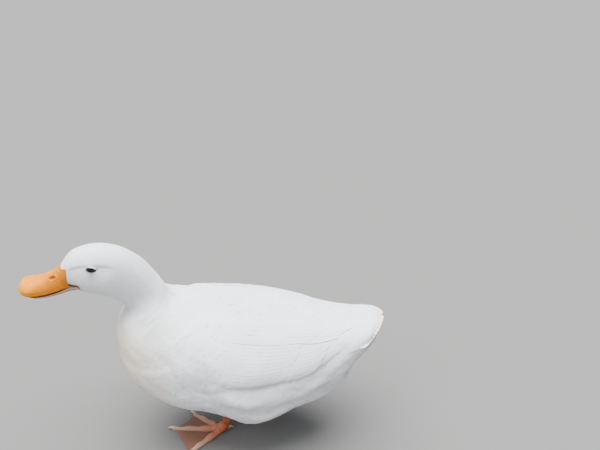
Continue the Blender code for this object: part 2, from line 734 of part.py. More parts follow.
def tube(name, points, radii, collection, material=None, sides=TOE_SIDES):
    """A round bar through the points, with a radius at each and flat ends, from a poly curve."""
    curve = bpy.data.curves.new(name, "CURVE")
    curve.dimensions = "3D"
    curve.bevel_depth = 1.0
    curve.bevel_resolution = sides // 2 - 2
    curve.use_fill_caps = True
    spline = curve.splines.new("POLY")
    spline.points.add(len(points) - 1)
    for spot, point, radius in zip(spline.points, points, radii):
        spot.co = (*point, 1.0)
        spot.radius = radius
    made = bpy.data.objects.new(name, curve)
    collection.objects.link(made)
    bpy.context.view_layer.update()
    made = as_mesh(made)
    if material:
        made.data.materials.append(material)
    return made


def foot_frame(foot):
    """Turns foot coordinates (forward, outward, up) into the duck's."""
    x, y = foot["joint"]
    side = foot["side"]
    turn = Matrix.Rotation(math.radians(foot["turn"]) * side, 3, "Z")

    def place(forward, outward, up):
        return turn @ Vector((forward, outward * side, up)) + Vector((x, y * side, 0))

    return place


def toe_line(turn, length, root_back, root_up):
    """Points and radii of a toe, with swollen joints, from the root to the claw."""
    angle = math.radians(turn)
    points, radii = [], []
    for i in range(TOE_STEPS):
        t = i / (TOE_STEPS - 1)
        radius = TOE_RADIUS_START + (TOE_RADIUS_END - TOE_RADIUS_START) * t
        radius *= 1 + KNUCKLE_SWELL * math.cos(2 * math.pi * t * KNUCKLES)
        out = length * t - root_back * (1 - t) ** 4
        height = max(radius - SOLE_CUT, JOINT_HEIGHT * (1 - t * TOE_RISE_END)) + root_up * (1 - t) ** 4
        points.append((out * math.cos(angle), out * math.sin(angle), height))
        radii.append(radius)
    return points, radii


def web_outline():
    """The web's edge seen from above: out along each toe and scalloped between the tips."""
    outline = [WEB_HEEL]
    rays = [(math.radians(toe[1]), toe[2] * WEB_REACH) for toe in TOES]
    outline.append((rays[0][1] * math.cos(rays[0][0]), rays[0][1] * math.sin(rays[0][0])))
    for (a0, r0), (a1, r1) in zip(rays, rays[1:]):
        for k in range(1, WEB_STEPS):
            t = k / WEB_STEPS
            reach = (r0 + (r1 - r0) * t) * (1 - WEB_SCALLOP * math.sin(math.pi * t))
            angle = a0 + (a1 - a0) * t
            outline.append((reach * math.cos(angle), reach * math.sin(angle)))
        outline.append((r1 * math.cos(a1), r1 * math.sin(a1)))
    return outline


def make_web(name, place, collection):
    """A thin plate between the toes, from a flat outline."""
    curve = bpy.data.curves.new(name, "CURVE")
    curve.dimensions = "2D"
    curve.fill_mode = "BOTH"
    curve.extrude = WEB_THICKNESS / 2
    outline = [place(x, y, 0) for x, y in web_outline()]
    spline = curve.splines.new("POLY")
    spline.points.add(len(outline) - 1)
    for spot, point in zip(spline.points, outline):
        spot.co = (point.x, point.y, 0, 1)
    spline.use_cyclic_u = True
    web = bpy.data.objects.new(name, curve)
    web.location.z = WEB_HEIGHT
    collection.objects.link(web)
    bpy.context.view_layer.update()
    return as_mesh(web)


def make_foot(name, foot, parts, cutters, material, claw_material):
    place = foot_frame(foot)
    pieces = make_collection(f"{name}_pieces")
    for toe, turn, length, root_back, root_up in TOES:
        points, radii = toe_line(turn, length, root_back, root_up)
        tube(f"{name}_{toe}", [place(*p) for p in points], radii, pieces)
        make_claw(name, toe, place, points, radii[-1], CLAW_LENGTH, parts, claw_material)
    tube(f"{name}_hind", [place(*p) for p in HIND_TOE], HIND_TOE_RADII, pieces)
    make_claw(name, "hind", place, HIND_TOE, HIND_TOE_RADII[-1], HIND_CLAW_LENGTH, parts, claw_material)
    make_web(f"{name}_web", place, pieces)
    made = tube(name, [place(*p) for p in ANKLE], ANKLE_RADII, parts, material, SHANK_SIDES)
    apply_boolean(made, pieces, "UNION")
    empty_collection(pieces)
    under = make_block(f"{name}_floor", -BLOCK_HEIGHT / 2, cutters)
    over = make_block(f"{name}_shank", SHANK_FOOT_CUT - GAP / 2 + BLOCK_HEIGHT / 2, cutters)
    for cutter in (under, over):
        apply_boolean(made, cutter, "DIFFERENCE")
    return made


def make_block(name, middle, cutters):
    """A wide flat block that cuts away all above or below a level."""
    mesh = bpy.data.meshes.new(name)
    build = bmesh.new()
    bmesh.ops.create_cube(build, size=1.0)
    bmesh.ops.scale(build, vec=(BLOCK_WIDTH, BLOCK_WIDTH, BLOCK_HEIGHT), verts=build.verts)
    build.to_mesh(mesh)
    build.free()
    block = make_cutter(name, mesh, cutters)
    block.location.z = middle
    bpy.context.view_layer.update()
    return block


def make_claw(name, toe, place, points, radius, length, parts, material):
    """A short curved nail that goes on from the end of a toe."""
    last, before = Vector(points[-1]), Vector(points[-2])
    ahead = (last - before).normalized()
    lift = (Vector((0, 0, 1)) - ahead * ahead.z).normalized()
    start = last + ahead * (GAP * 1.3) + lift * CLAW_LIFT
    line, radii = [], []
    for i in range(CLAW_STEPS):
        t = i / (CLAW_STEPS - 1)
        radii.append(radius * (CLAW_TAPER * (1 - t) + CLAW_TIP))
        spot = start + ahead * length * t
        if t > CLAW_SINK_START:
            spot.z = max(spot.z - CLAW_SINK * (t - CLAW_SINK_START) ** 2, radii[-1] + CLAW_CLEARANCE)
        line.append(place(*spot))
    tube(f"claw_{name[5:]}_{toe}", line, radii, parts, material, CLAW_SIDES)


def make_leg(name, foot, body_space, parts, cutters, material):
    """The scaled shank, from its flat foot end up to where the thigh feathers hide it."""
    place = foot_frame(foot)
    low, top = Vector(SHANK_LOW), Vector(SHANK_TOP)
    points, radii = [], []
    for i in range(SHANK_STEPS):
        t = i / (SHANK_STEPS - 1)
        spot = low.lerp(top, t)
        spot.x += SHANK_BOW * math.sin(math.pi * t)
        points.append(place(*spot))
        waist = 1 + SHANK_WAIST * math.cos(2 * math.pi * t)
        radii.append(SHANK_RADIUS * waist + SHANK_WIDENING * t)
    start = (points[0] - points[1]).normalized() * SHANK_OVERRUN + points[0]
    leg = tube(name, [start, *points], [radii[0], *radii], parts, material, SHANK_SIDES)
    cutter = make_block(f"{name}_foot_space", SHANK_FOOT_CUT + GAP / 2 - BLOCK_HEIGHT / 2, cutters)
    apply_boolean(leg, cutter, "DIFFERENCE")
    apply_boolean(leg, body_space, "DIFFERENCE")
    return leg


def centre_on_floor(parts):
    """Hangs every part from one empty that puts the middle of the duck's box over the origin."""
    bpy.context.view_layer.update()
    corners = [obj.matrix_world @ Vector(corner) for obj in parts.objects for corner in obj.bound_box]
    low = Vector(map(min, zip(*corners)))
    high = Vector(map(max, zip(*corners)))
    origin = bpy.data.objects.new("duck_origin", None)
    parts.objects.link(origin)
    for obj in parts.objects:
        if obj is not origin:
            obj.parent = origin
    origin.location = (-(low.x + high.x) / 2, -(low.y + high.y) / 2, -low.z)


def main():
    clear_scene()
    parts = make_collection("german_pekin_duck")
    cutters = make_collection("cutters")
    materials = {name: make_material(name) for name in COLOURS}
    make_torso(parts, materials["plumage"])
    make_neck(parts, materials["plumage"])
    make_tail(parts, materials["plumage"])
    make_head(parts, cutters, materials["plumage"])
    make_eyes(parts, materials["eye"])
    make_upper_bill(parts, cutters, materials["bill"])
    make_lower_bill(parts, materials["bill"])
    body_space = make_wings(parts, cutters, materials["plumage"])
    for side, foot in FEET.items():
        make_foot(f"foot_{side}", foot, parts, cutters, materials["foot"], materials["claw"])
        make_leg(f"leg_{side}", foot, body_space, parts, cutters, materials["foot"])
    centre_on_floor(parts)


main()
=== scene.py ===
"""Looks of the German Pekin duck: skin, plumage, bill, eyes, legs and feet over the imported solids.

Metres, +Z up. The duck faces +X and its left side is +Y. Shapes are worked out in the duck's own
design space, and shifted into the frame by the place of the left eye.
"""

import math

import bpy
import numpy as np
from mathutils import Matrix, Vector


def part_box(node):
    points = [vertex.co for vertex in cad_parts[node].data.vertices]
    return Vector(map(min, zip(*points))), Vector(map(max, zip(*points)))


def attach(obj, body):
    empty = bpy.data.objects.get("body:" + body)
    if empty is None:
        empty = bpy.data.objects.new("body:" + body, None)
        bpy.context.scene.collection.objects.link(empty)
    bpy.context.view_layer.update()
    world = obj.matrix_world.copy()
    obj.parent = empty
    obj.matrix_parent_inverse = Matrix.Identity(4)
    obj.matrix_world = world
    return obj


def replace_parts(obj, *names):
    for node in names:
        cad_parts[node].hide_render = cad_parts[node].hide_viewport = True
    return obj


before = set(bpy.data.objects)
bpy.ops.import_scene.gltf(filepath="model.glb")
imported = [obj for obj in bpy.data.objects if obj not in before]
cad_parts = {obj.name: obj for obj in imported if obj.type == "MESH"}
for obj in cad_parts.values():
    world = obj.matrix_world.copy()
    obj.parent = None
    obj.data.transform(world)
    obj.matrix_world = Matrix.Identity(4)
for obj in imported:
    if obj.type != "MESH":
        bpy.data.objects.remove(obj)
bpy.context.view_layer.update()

SEED = 41
UP = np.array((0.0, 0.0, 1.0))
FULL = (1.0, 1.0, 1.0)

# Stations of the body: back line x, z, belly line x, z, half width, level of the widest place.
STATIONS = np.array((
    (-0.1050, 0.1850, -0.1035, 0.1790, 0.0110, 0.50),
    (-0.0865, 0.1855, -0.0800, 0.1510, 0.0320, 0.62),
    (-0.0620, 0.1835, -0.0575, 0.1030, 0.0450, 0.62),
    (-0.0300, 0.1840, -0.0285, 0.0700, 0.0590, 0.57),
    (0.0100, 0.1890, 0.0060, 0.0580, 0.0740, 0.51),
    (0.0600, 0.1970, 0.0570, 0.0450, 0.0865, 0.48),
    (0.1050, 0.2045, 0.1100, 0.0550, 0.0852, 0.48),
    (0.1380, 0.2095, 0.1665, 0.0630, 0.0780, 0.48),
    (0.1555, 0.2135, 0.2155, 0.0970, 0.0660, 0.48),
    (0.1615, 0.2175, 0.2318, 0.1485, 0.0510, 0.48),
    (0.1648, 0.2220, 0.2282, 0.1820, 0.0385, 0.50),
    (0.1685, 0.2300, 0.2195, 0.1975, 0.0310, 0.50),
    (0.1770, 0.2470, 0.2175, 0.2050, 0.0265, 0.50),
    (0.1925, 0.2715, 0.2230, 0.2130, 0.0250, 0.50),
    (0.2150, 0.2905, 0.2330, 0.2245, 0.0255, 0.47),
    (0.2430, 0.2980, 0.2460, 0.2340, 0.0260, 0.45),
    (0.2695, 0.2925, 0.2585, 0.2380, 0.0228, 0.43),
    (0.2845, 0.2755, 0.2715, 0.2430, 0.0150, 0.48),
))
LAST_STATION = len(STATIONS) - 1.0
HEAD_TURN = math.radians(12)
HEAD_ROLL = math.radians(-5)
TURN_START = 9.0
TURN_END = 13.5
TURN_AXIS_X = 0.190
ROLL_AXIS_HEIGHT = 0.257
BULGES = (
    ((0.052, 0.060, 0.062), 0.007, 0.030),
    ((0.2400, 0.0225, 0.2480), 0.0025, 0.012),
)

# Eyes
EYE_STATION = 15.22
EYE_ANGLE = math.radians(31)
EYE_RADIUS = 0.0076
EYE_DEPTH = 0.0065
LID_OPENING = (0.0062, 0.0029)
EYE_CLEAR = (0.0019, 0.0016)
EYE_CLEAR_AHEAD = 0.0014
FINE_REACH = (0.007, 0.017)
FINE_SHARE = 0.58
CORNEA_RISE = 0.0003
CORNEA_ANGLE = 0.55
LID_RIM = ((0.0, -0.0003), (0.0, 0.0002), (0.05, 0.0005), (0.12, 0.0006), (0.20, 0.0005), (0.34, 0.0006),
           (0.6, 0.0006), (0.85, 0.0005), (1.0, 0.0))
LID_REACH = (0.0086, 0.0064)
LID_SLANT = -0.25
LID_POINTED = 1.5
LID_HALVES = (0.80, 1.05)
LEAST_DEEP = 0.0014
EYE_HOLLOW = 0.0035

# Plumage: station, how far apart the feathers sit, their length, width and how deep they root.
COAT_ROWS = np.array((
    (0.0, 0.0066, 0.0300, 0.0120, 0.0050),
    (2.5, 0.0062, 0.0270, 0.0120, 0.0050),
    (5.0, 0.0060, 0.0250, 0.0116, 0.0050),
    (8.0, 0.0054, 0.0220, 0.0104, 0.0044),
    (9.5, 0.0044, 0.0180, 0.0086, 0.0034),
    (10.5, 0.0037, 0.0145, 0.0070, 0.0026),
    (12.0, 0.0030, 0.0112, 0.0056, 0.0020),
    (13.3, 0.0026, 0.0092, 0.0048, 0.0016),
    (15.0, 0.0021, 0.0068, 0.0037, 0.0011),
    (16.3, 0.0016, 0.0048, 0.0027, 0.0007),
    (17.0, 0.0013, 0.0038, 0.0022, 0.0005),
))
COAT = {key: COAT_ROWS[:, (0, k + 1)] for k, key in enumerate(("spacing", "length", "width", "sink"))}
COAT_BORDERS = (13.3, 10.2, 7.4)
ROOT_END = 0.02
ROW_STEP = 0.87
ROOT_JITTER = 0.22
ROOT_SHIFT = 0.05
SIZE_SPREAD = (0.88, 1.12)
FEATHER_YAW = 0.10
FEATHER_DOME = 0.040
ROOT_DIP = 2.3
TIP_LIFT = 0.035
TIP_SPREAD = 0.028
SKIN_SHARE = 0.92
SKIN_START = 0.15
SKIN_TAIL_SHARE = 0.55
SKIN_TAIL_END = 2.0
VANE_ROWS = (0.0, 0.40, 0.70, 0.86, 0.95, 1.0)
VANE_WIDTHS = (0.30, 0.88, 1.0, 0.92, 0.70, 0.36)
VANE_COLUMNS = np.linspace(-1, 1, 7)
TIP_ROUNDNESS = 0.07
TIP_RAGGED = 0.016
NORMAL_SOFTNESS = 0.72
PATCH = 0.003
TAIL_BARE = 1.15
TAIL_REACH = 0.35

# Folded wing: its edges as angles round the body, and how far it stands off the flank.
WING_LOW_EDGE = ((0.95, 58), (1.5, 48), (2.0, 40), (2.5, 31), (3.2, 22), (3.8, 21), (4.5, 22),
                 (5.3, 21), (6.0, 18), (6.7, 20), (7.3, 28))
WING_HIGH_EDGE = ((0.95, 68), (1.5, 74), (2.0, 77), (3.0, 79), (4.0, 80), (5.0, 79), (6.0, 74),
                  (6.7, 62), (7.3, 42))
WING_HEIGHT = ((0.95, 0.0), (2.0, 0.0010), (3.0, 0.0028), (3.6, 0.0056), (4.2, 0.0077), (5.0, 0.0080),
               (5.6, 0.0070), (6.2, 0.0052), (6.8, 0.0030), (7.4, 0.0014), (8.0, 0.0))
WING_CREASE = (-0.105, 0.30)
WING_ROUND = 3.4
WING_BLEND = 0.35
WING_FRONT = (5.0, 7.2)
WING_TOP = (0.80, 1.18)
COVERT_START = ((0.0, 4.75), (0.55, 4.55), (0.75, 3.9), (1.0, 3.3))
HAND_COVER = ((1.6, 0.50), (2.4, 0.42), (3.0, 0.20), (3.6, 0.03), (8.0, 0.03))
RUFFLES = ((0.0010, 0.083, 0.9), (0.0004, 0.041, 2.3), (0.00012, 0.019, 4.1))
LOOSE_END = (9.0, 14.0)
# The line through the eye, and swells: station, angle, their spreads, and height.
BROW_LINE = ((14.0, 34), (14.77, 35), (15.24, 36.5), (15.6, 38), (16.0, 40), (16.6, 40))
BROW_HALF = 4.0
BROW_FADE = 3.2
BROW_DEPTH = 0.0012
BROW_START = (14.0, 14.6)
BROW_END = (16.1, 16.6)
SWELLS = (
    (16.0, 22, 0.35, 14, -0.0006),
    (14.6, 5, 0.45, 16, 0.0008),
    (12.6, 45, 0.5, 12, 0.0008),
    (12.0, 10, 0.6, 12, -0.0008),
    (11.2, 40, 0.5, 14, -0.0008),
    (9.21, 32, 0.10, 5, -0.0022),
    (9.5, 12, 0.5, 15, -0.0012),
    (15.22, 31, 0.20, 11, 0.0024),
    (4.9, 14, 0.85, 3.5, -0.0026),
    (5.3, -2, 0.75, 8, 0.0038),
    (4.7, -26, 0.55, 7, 0.0034),
    (3.5, -8, 0.50, 8, 0.0034),
    (3.1, -34, 0.45, 8, 0.0032),
    (6.6, -20, 0.8, 11, 0.0024),
    (4.2, -17, 0.35, 5, -0.0024),
    (2.3, -20, 0.35, 9, 0.0026),
    (2.15, -44, 0.42, 10, 0.0044),
    (3.1, -54, 0.50, 9, 0.0022),
    (1.40, 73, 0.07, 7, -0.0016),
    (1.1, -14, 0.7, 24, 0.0034),
)
FEATHER_LINES = {
    "hand": (((0.95, 50), (1.9, 42), (2.8, 32), (3.75, 28)),
             ((0.95, 66), (1.9, 62), (2.8, 56), (3.75, 50))),
    "panel": (((2.4, 34), (3.2, 23), (3.8, 21), (4.5, 22), (5.3, 20), (6.2, 14), (7.1, 21)),
              ((2.4, 60), (3.2, 57), (7.1, 57))),
    "back": (((1.6, 60), (3.0, 58), (7.1, 56)), ((1.6, 69), (3.0, 70), (6.0, 70), (7.1, 66))),
    "over_tail": (((0.6, 20), (2.6, 28)), ((0.6, 80), (2.6, 84))),
    "beside_tail": (((0.3, 4), (2.6, 16)), ((0.3, -34), (2.6, -30))),
    "under_tail": (((0.4, -28), (2.6, -22)), ((0.4, -82), (2.6, -86))),
    "flank": (((1.8, -24), (3.8, -14)), ((1.8, -70), (3.8, -62))),
}
# Rows of long feathers: panel, count, stations of the lowest and highest root, the same for the
# tips, width, heights over the body at the places along a feather, and the outline.
LIFT_PLACES = (0.0, 0.3, 1.0)
WING_TIERS = {
    "primaries": ("hand", 8, (3.75, 3.70), (0.98, 1.95), 0.0105, (-0.0030, -0.0008, 0.0004), "long"),
    "secondaries": ("panel", 12, (5.60, 5.20), (3.25, 2.45), 0.0140, (-0.0030, -0.0006, 0.0004), "long"),
    "tertials": ("back", 5, (5.20, 5.10), (2.30, 1.70), 0.0165, (-0.0028, -0.0002, 0.0006), "long"),
    "greater_coverts": ("panel", 13, (6.15, 5.80), (4.25, 3.65), 0.0130, (-0.0028, 0.0, 0.0010), "short"),
    "scapulars": ("back", 5, (6.20, 6.00), (3.30, 2.75), 0.0170, (-0.0024, 0.0004, 0.0012), "long"),
}
TAIL_TIERS = {
    "upper_coverts": ("over_tail", 7, (2.60, 2.60), (0.80, 0.62), 0.0150, (-0.0030, 0.0002, 0.0008), "short"),
    "flank_tufts": ("flank", 7, (3.50, 3.30), (2.15, 1.80), 0.0150, (-0.0030, 0.0, 0.0008), "short"),
    "under_coverts": ("under_tail", 8, (2.0, 2.0), (0.62, 0.22), 0.0180, (-0.0030, 0.0004, 0.0012), "short"),
    "side_coverts": ("beside_tail", 7, (2.1, 2.1), (0.72, 0.36), 0.0160, (-0.0030, 0.0004, 0.0006), "short"),
}
OUTLINES = {
    "long": ((0.0, 0.50), (0.15, 0.84), (0.40, 1.0), (0.80, 0.95), (0.93, 0.74), (1.0, 0.20)),
    "short": ((0.0, 0.55), (0.35, 0.90), (0.70, 1.0), (0.90, 0.76), (1.0, 0.24)),
}
LONG_ROWS = np.array((0.0, 0.08, 0.2, 0.34, 0.48, 0.62, 0.74, 0.84, 0.91, 0.96, 1.0))
LONG_COLUMNS = np.array((-1.0, -0.7, -0.36, -0.06, 0.0, 0.06, 0.36, 0.7, 1.0))
VANE_THICKNESS = 0.0003
VANE_TAPER = 0.6
VANE_DOME = 0.05
VANE_SLANT = 0.10
SPLIT_DEPTH = 0.10
SPLIT_ODDS = 0.22
SHAFT_RIDGE = 0.00035
SHAFT_BREADTH = 0.05
SHAFT_TAPER = 0.8
TIP_JITTER = 0.05
TIER_WIDTH_SPREAD = (0.96, 1.04)
TIER_STEP = 0.0005
STEEPEST_LEAN = 0.16
LONG_SOFTNESS = 0.64

# Cream tint: where it begins and is full along X and Z, its share and its colour. Towards the bottom and
# front it is partly the plumage's own cream and partly painted warm light thrown up from the floor.
CREAM = (0.92, 0.78, 0.62)
CREAM_FRONT = (0.025, 0.095)
CREAM_AND_WARM_BOUNCE_BELOW = (0.215, 0.170)
CREAM_SHARE = 1.0
TAIL_CREAM = (-0.200, -0.222)

# Tail fan: the first pair's root and tip, the step from pair to pair, and the feathers' width.
FAN_PAIRS = 9
FAN_SPREAD = 4.0
FAN_ROOT = np.array((-0.0480, 0.0035, 0.1675))
FAN_ROOT_STEP = np.array((0.0, 0.0052, -0.0016))
FAN_TIP = np.array((-0.1050, 0.0040, 0.1850))
FAN_TIP_STEP = np.array((0.0020, 0.0092, -0.0016))
FAN_TIP_CURVE = np.array((0.0008, -0.00014, -0.00040))
FAN_WIDTH = 0.0150
FAN_WIDTH_SPREAD = (0.97, 1.03)
FAN_TILT = (0.04, 0.05)
FAN_OVERLAP = 0.0009
FAN_ARCH = 0.0012
FAN_DROP = 0.0004
FAN_DOME = 0.07
FAN_SLANT = 0.12

# Bill, in the head's own plane before the head is turned.
BILL_TIP_X = 0.3365
BILL_CENTRE = np.array((0.30, 0.0, 0.2500))
LOWER_BILL_TIP_X = 0.3325
BILL_SUNK = 0.0030
CULMEN = ((0.0, 0.2750), (0.25, 0.2680), (0.45, 0.2636), (0.65, 0.2606), (0.82, 0.2590), (0.92, 0.2565),
          (1.0, 0.2505))
TOMIUM = ((0.0, 0.2528), (0.12, 0.2512), (0.28, 0.2480), (0.45, 0.2461), (0.62, 0.2456), (0.8, 0.2468),
          (0.92, 0.2479), (1.0, 0.2478))
BILL_HALF_WIDTH = ((0.0, 0.0138), (0.25, 0.0136), (0.45, 0.0143), (0.65, 0.0156), (0.8, 0.0163),
                   (0.9, 0.0143), (0.97, 0.0090), (1.0, 0.0040))
BILL_ARCH = ((0.0, 1.15), (0.4, 1.0), (0.8, 0.75), (1.0, 0.8))
LOWER_BILL_DEPTH = ((0.0, 0.0110), (0.3, 0.0082), (0.6, 0.0068), (0.8, 0.0054), (1.0, 0.0022))
PALATE_DEPTH = 0.0022
VAULT_END = (0.86, 0.96)
LIP = 0.0009
GAP = 0.0003
GAPE_OPENING = 0.0016
LOWER_BILL_INSET = 0.0017
LOWER_BILL_LEAST = 0.0028
LOWER_BILL_RIM = 0.0005
TROUGH_DEPTH = 0.0012
CHIN_DEPTH = 0.0010
TIP_CLOSING = 0.75
CLOSING_START = 0.72
OPENING_END = 0.6
NOSTRIL_T = 0.27
NOSTRIL_HEIGHT = 0.83
NOSTRIL_REACH = (0.0036, 0.0015)
NOSTRIL_DEPTH = 0.0018
NOSTRIL_RIM = 0.00035
NOSTRIL_RIM_PLACE = (1.35, 0.3)
NOSTRIL_TILT = math.radians(20)
NAIL_START = 0.865
NAIL_BLEND = 0.03
NAIL_HALF_WIDTH = 0.0046
NAIL_RISE = 0.0004
NAIL_HOOK = 0.0007
GROOVE_HEIGHT = 0.0030
GROOVE_BREADTH = 0.0009
GROOVE_DEPTH = 0.00025
COMB_PITCH = 0.0014
COMB_DEPTH = 0.00022
COMB_BAND = (0.0006, 0.0016)
COMB_START = (0.12, 0.2)
COMB_END = (0.78, 0.88)
# How dark the painted shade is on the bill: in the nostrils, along the comb, inside the mouth, in the lower
# bill's trough, under its keel and at the border under the feathers.
NOSTRIL_SHADE = 0.6
MOUTH_SHADE = 0.6
COMB_SHADE = 0.35
TROUGH_SHADE = 0.55
KEEL_SHADE = 0.90
KEEL_SHADE_BAND = (0.20, 0.50)
BORDER_SHADE = 0.25
# Where the bill's skin ends on the head, by angle, and the corner of the mouth.
BILL_BORDER = ((-24, 17.02), (3, 17.02), (10, 16.98), (27, 16.80), (42, 16.60), (50, 16.54), (56, 16.60),
               (62, 16.82), (69, 17.0), (80, 17.0), (90, 17.0))
COLLAR_START = 0.17
COLLAR_ANGLES = (-24, 204)
COLLAR_LIFT = 0.0003
COLLAR_FLARE = 1.6
COLLAR_SINK = 0.0004
BORDER_SINK = 0.0011
GAPE_LENGTH = 0.80
GAPE_AHEAD = 0.10
GAPE_SWELL = 0.0010
GAPE_CUT = 0.0006
GAPE_SINK = 0.0003
# The gape's slit (a cut with painted shade), and the painted shade along its lower edge and at its back end.
GAPE_LINE = (0.82, 0.27)
GAPE_LOW_SHADE = 0.13
GAPE_END_SHADE = 0.15
GAPE_HIGH = ((0.0, 3.0), (0.5, -2.0), (0.85, -1.0), (0.95, -5.0), (1.0, -11.0))
GAPE_LOW = ((0.0, -50.0), (0.5, -38.0), (0.85, -24.0), (0.95, -18.0), (1.0, -12.0))

# Legs and feet. A toe is: turn from straight ahead (outwards is positive), length, and how far
# behind and above the joint it is rooted.
TOES = ((-34, 0.0500, 0.0021, 0.0004), (0, 0.0660, 0.0034, 0.0009), (48, 0.0600, 0.0012, 0.0))
TOE_NAMES = ("inner", "middle", "outer")
FEET = {"left": (1, (0.1065, 0.0215), -3), "right": (-1, (0.0600, 0.0310), -3)}
TOE_SIDES = 28
TOE_PALENESS = ((0.0, 0.1), (0.25, 0.35), (0.6, 0.85), (1.0, 1.0))
TOE_RADIUS_START = 0.0050
TOE_RADIUS_END = 0.0026
KNUCKLES = 3
KNUCKLE_RISE = 0.10
SOLE_CUT = 0.0012
JOINT_HEIGHT = 0.0062
HIND_TOE = ((-0.002, 0.001, 0.0100), (-0.0070, 0.0, 0.0090), (-0.0115, -0.001, 0.0076))
HIND_TOE_RADII = (0.0034, 0.0018)
HIND_TOE_PALENESS = 0.1
CLAW_LENGTH = 0.0085
HIND_CLAW_LENGTH = 0.0055
CLAW_SINK = 0.0022
CLAW_ROOT = 0.0012
CLAW_CLEAR = 0.0003
CLAW_LIFT = 0.0012
CLAW_ARCH = 0.0013
WEB_HEIGHT = 0.0013
WEB_HALF = 0.0005
WEB_REACH = 0.97
WEB_RISE = 0.0006
WEB_FOLDS = (0.00016, 0.00014)
WEB_WAVES = (2600, 44)
WEB_SCALLOP = 0.16
SHANK_BACK = 0.024
SHANK_TOP = 0.078
SHANK_OUT = 0.027
SHANK_BOW = 0.003
SHANK_FRONT = np.array((1.0, 0.0, 0.35))
SHANK_FOOT = np.array((-0.0070, 0, 0.0172))
SHANK_RADII = (0.0056, 0.0070, 0.0060, 0.0054, 0.0050, 0.0048, 0.0052, 0.0058, 0.0064)
ANKLE = ((0.002, 0, 0.003), (-0.0010, 0, 0.0085), (-0.0045, 0, 0.0135), (-0.0080, 0, 0.0195))
SCUTE_PITCH = 0.0023
SCUTE_RISE = 0.00030
GRAIN_WAVE = 5200

# Colours of the naked parts. A ramp's stop is its position and its colour.
BILL_TINT = (0.268, 0.334)
BILL_ORANGE = ((0.0, (0.64, 0.20, 0.004)), (0.45, (0.78, 0.225, 0.002)), (0.80, (0.82, 0.26, 0.002)),
               (1.0, (0.84, 0.32, 0.012)))
LOWER_BILL_COLOUR = (0.72, 0.47, 0.33)
# The colour of the bill's painted shade.
BILL_SHADE_COLOUR = (0.17, 0.09, 0.07)
# Lid colours out from the opening: a dark rim, then painted shade fading to pale skin.
LID_RIM_AND_SHADE = ((0.0, (0.03, 0.025, 0.02)), (0.05, (0.16, 0.13, 0.11)), (0.16, (0.62, 0.56, 0.49)),
             (0.40, (0.86, 0.85, 0.82)))
EYE_TONES = ((0.13, (0.004, 0.004, 0.005)), (0.15, (0.035, 0.020, 0.012)), (0.24, (0.05, 0.03, 0.02)),
             (0.27, (0.012, 0.010, 0.010)))
FOOT_TONES = ((0.30, (0.42, 0.085, 0.030)), (0.55, (0.60, 0.14, 0.045)), (0.75, (0.66, 0.21, 0.075)))
TOE_COLOUR = (0.62, 0.37, 0.25)
# The webs' colour: partly their own browner tone, partly painted shade.
WEB_TONE_AND_SHADE = (0.26, 0.115, 0.072)

# Stage: colours, and lamps with where they shine from, their strength and their breadth in degrees.
FLOOR_COLOUR = (0.17, 0.16, 0.15)
WORLD_COLOUR = (0.78, 0.88, 1.0)
WORLD_STRENGTH = 0.60
FLOOR_HALF = 30.0
LAMP_AIM = Vector((0, 0, 0.12))
LAMP_COLOUR = (0.93, 0.965, 1.0)
LAMPS = (
    ("overhead", (0.10, -0.25, 2.2), 11.5, 58),
    ("key", (0.7, 0.9, 1.7), 1.5, 34),
)

# Camera of the photograph: focal length 800 pixels on a 600 pixel frame.
CAMERA_PLACE = Vector((0.0, 0.79, 0.82))
CAMERA_TILT = math.radians(57.6)
CAMERA_LENS = 48.0


# Curves and the body's form


def curve(table, t):
    """Values at t of a short table of (t, value) pairs, joined by a smooth curve."""
    xs, ys = np.array(table, float).T
    slopes = np.gradient(ys, xs)
    t = np.clip(np.asarray(t, float), xs[0], xs[-1])
    i = np.clip(np.searchsorted(xs, t, side="right") - 1, 0, len(xs) - 2)
    span = xs[i + 1] - xs[i]
    u = (t - xs[i]) / span
    near = (1 + 2 * u) * (1 - u) ** 2 * ys[i] + u * (1 - u) ** 2 * span * slopes[i]
    far = u * u * (3 - 2 * u) * ys[i + 1] + u * u * (u - 1) * span * slopes[i + 1]
    return near + far


def smooth_step(low, high, x):
    u = np.clip((x - low) / (high - low), 0.0, 1.0)
    return u * u * (3 - 2 * u)


def unit(v):
    return v / np.maximum(np.linalg.norm(v, axis=-1, keepdims=True), 1e-12)


def dot(a, b):
    return np.sum(a * b, axis=-1)


def run_along(path):
    """How far each point of a path is from its first one."""
    return np.concatenate(([0.0], np.cumsum(np.linalg.norm(np.diff(path, axis=0), axis=-1))))


def station_rows(s):
    """The station values at s, from a Catmull-Rom curve through the table."""
    padded = np.vstack((2 * STATIONS[0] - STATIONS[1], STATIONS, 2 * STATIONS[-1] - STATIONS[-2]))
    i = np.clip(np.floor(s).astype(int), 0, len(STATIONS) - 2)
    u = (s - i)[..., None]
    p0, p1, p2, p3 = (padded[i + k] for k in range(4))
    square = (2 * p0 - 5 * p1 + 4 * p2 - p3) * u**2
    cube = (3 * p1 - p0 - 3 * p2 + p3) * u**3
    return 0.5 * (2 * p1 + (p2 - p0) * u + square + cube)


def turned(points, share):
    """The points after the given share of the head's turn and roll."""
    x, y, z = points[..., 0] - TURN_AXIS_X, points[..., 1], points[..., 2] - ROLL_AXIS_HEIGHT
    roll, turn = HEAD_ROLL * share, HEAD_TURN * share
    y, z = y * np.cos(roll) - z * np.sin(roll), y * np.sin(roll) + z * np.cos(roll)
    x, y = x * np.cos(turn) - y * np.sin(turn), x * np.sin(turn) + y * np.cos(turn)
    return np.stack((x + TURN_AXIS_X, y, z + ROLL_AXIS_HEIGHT), axis=-1)


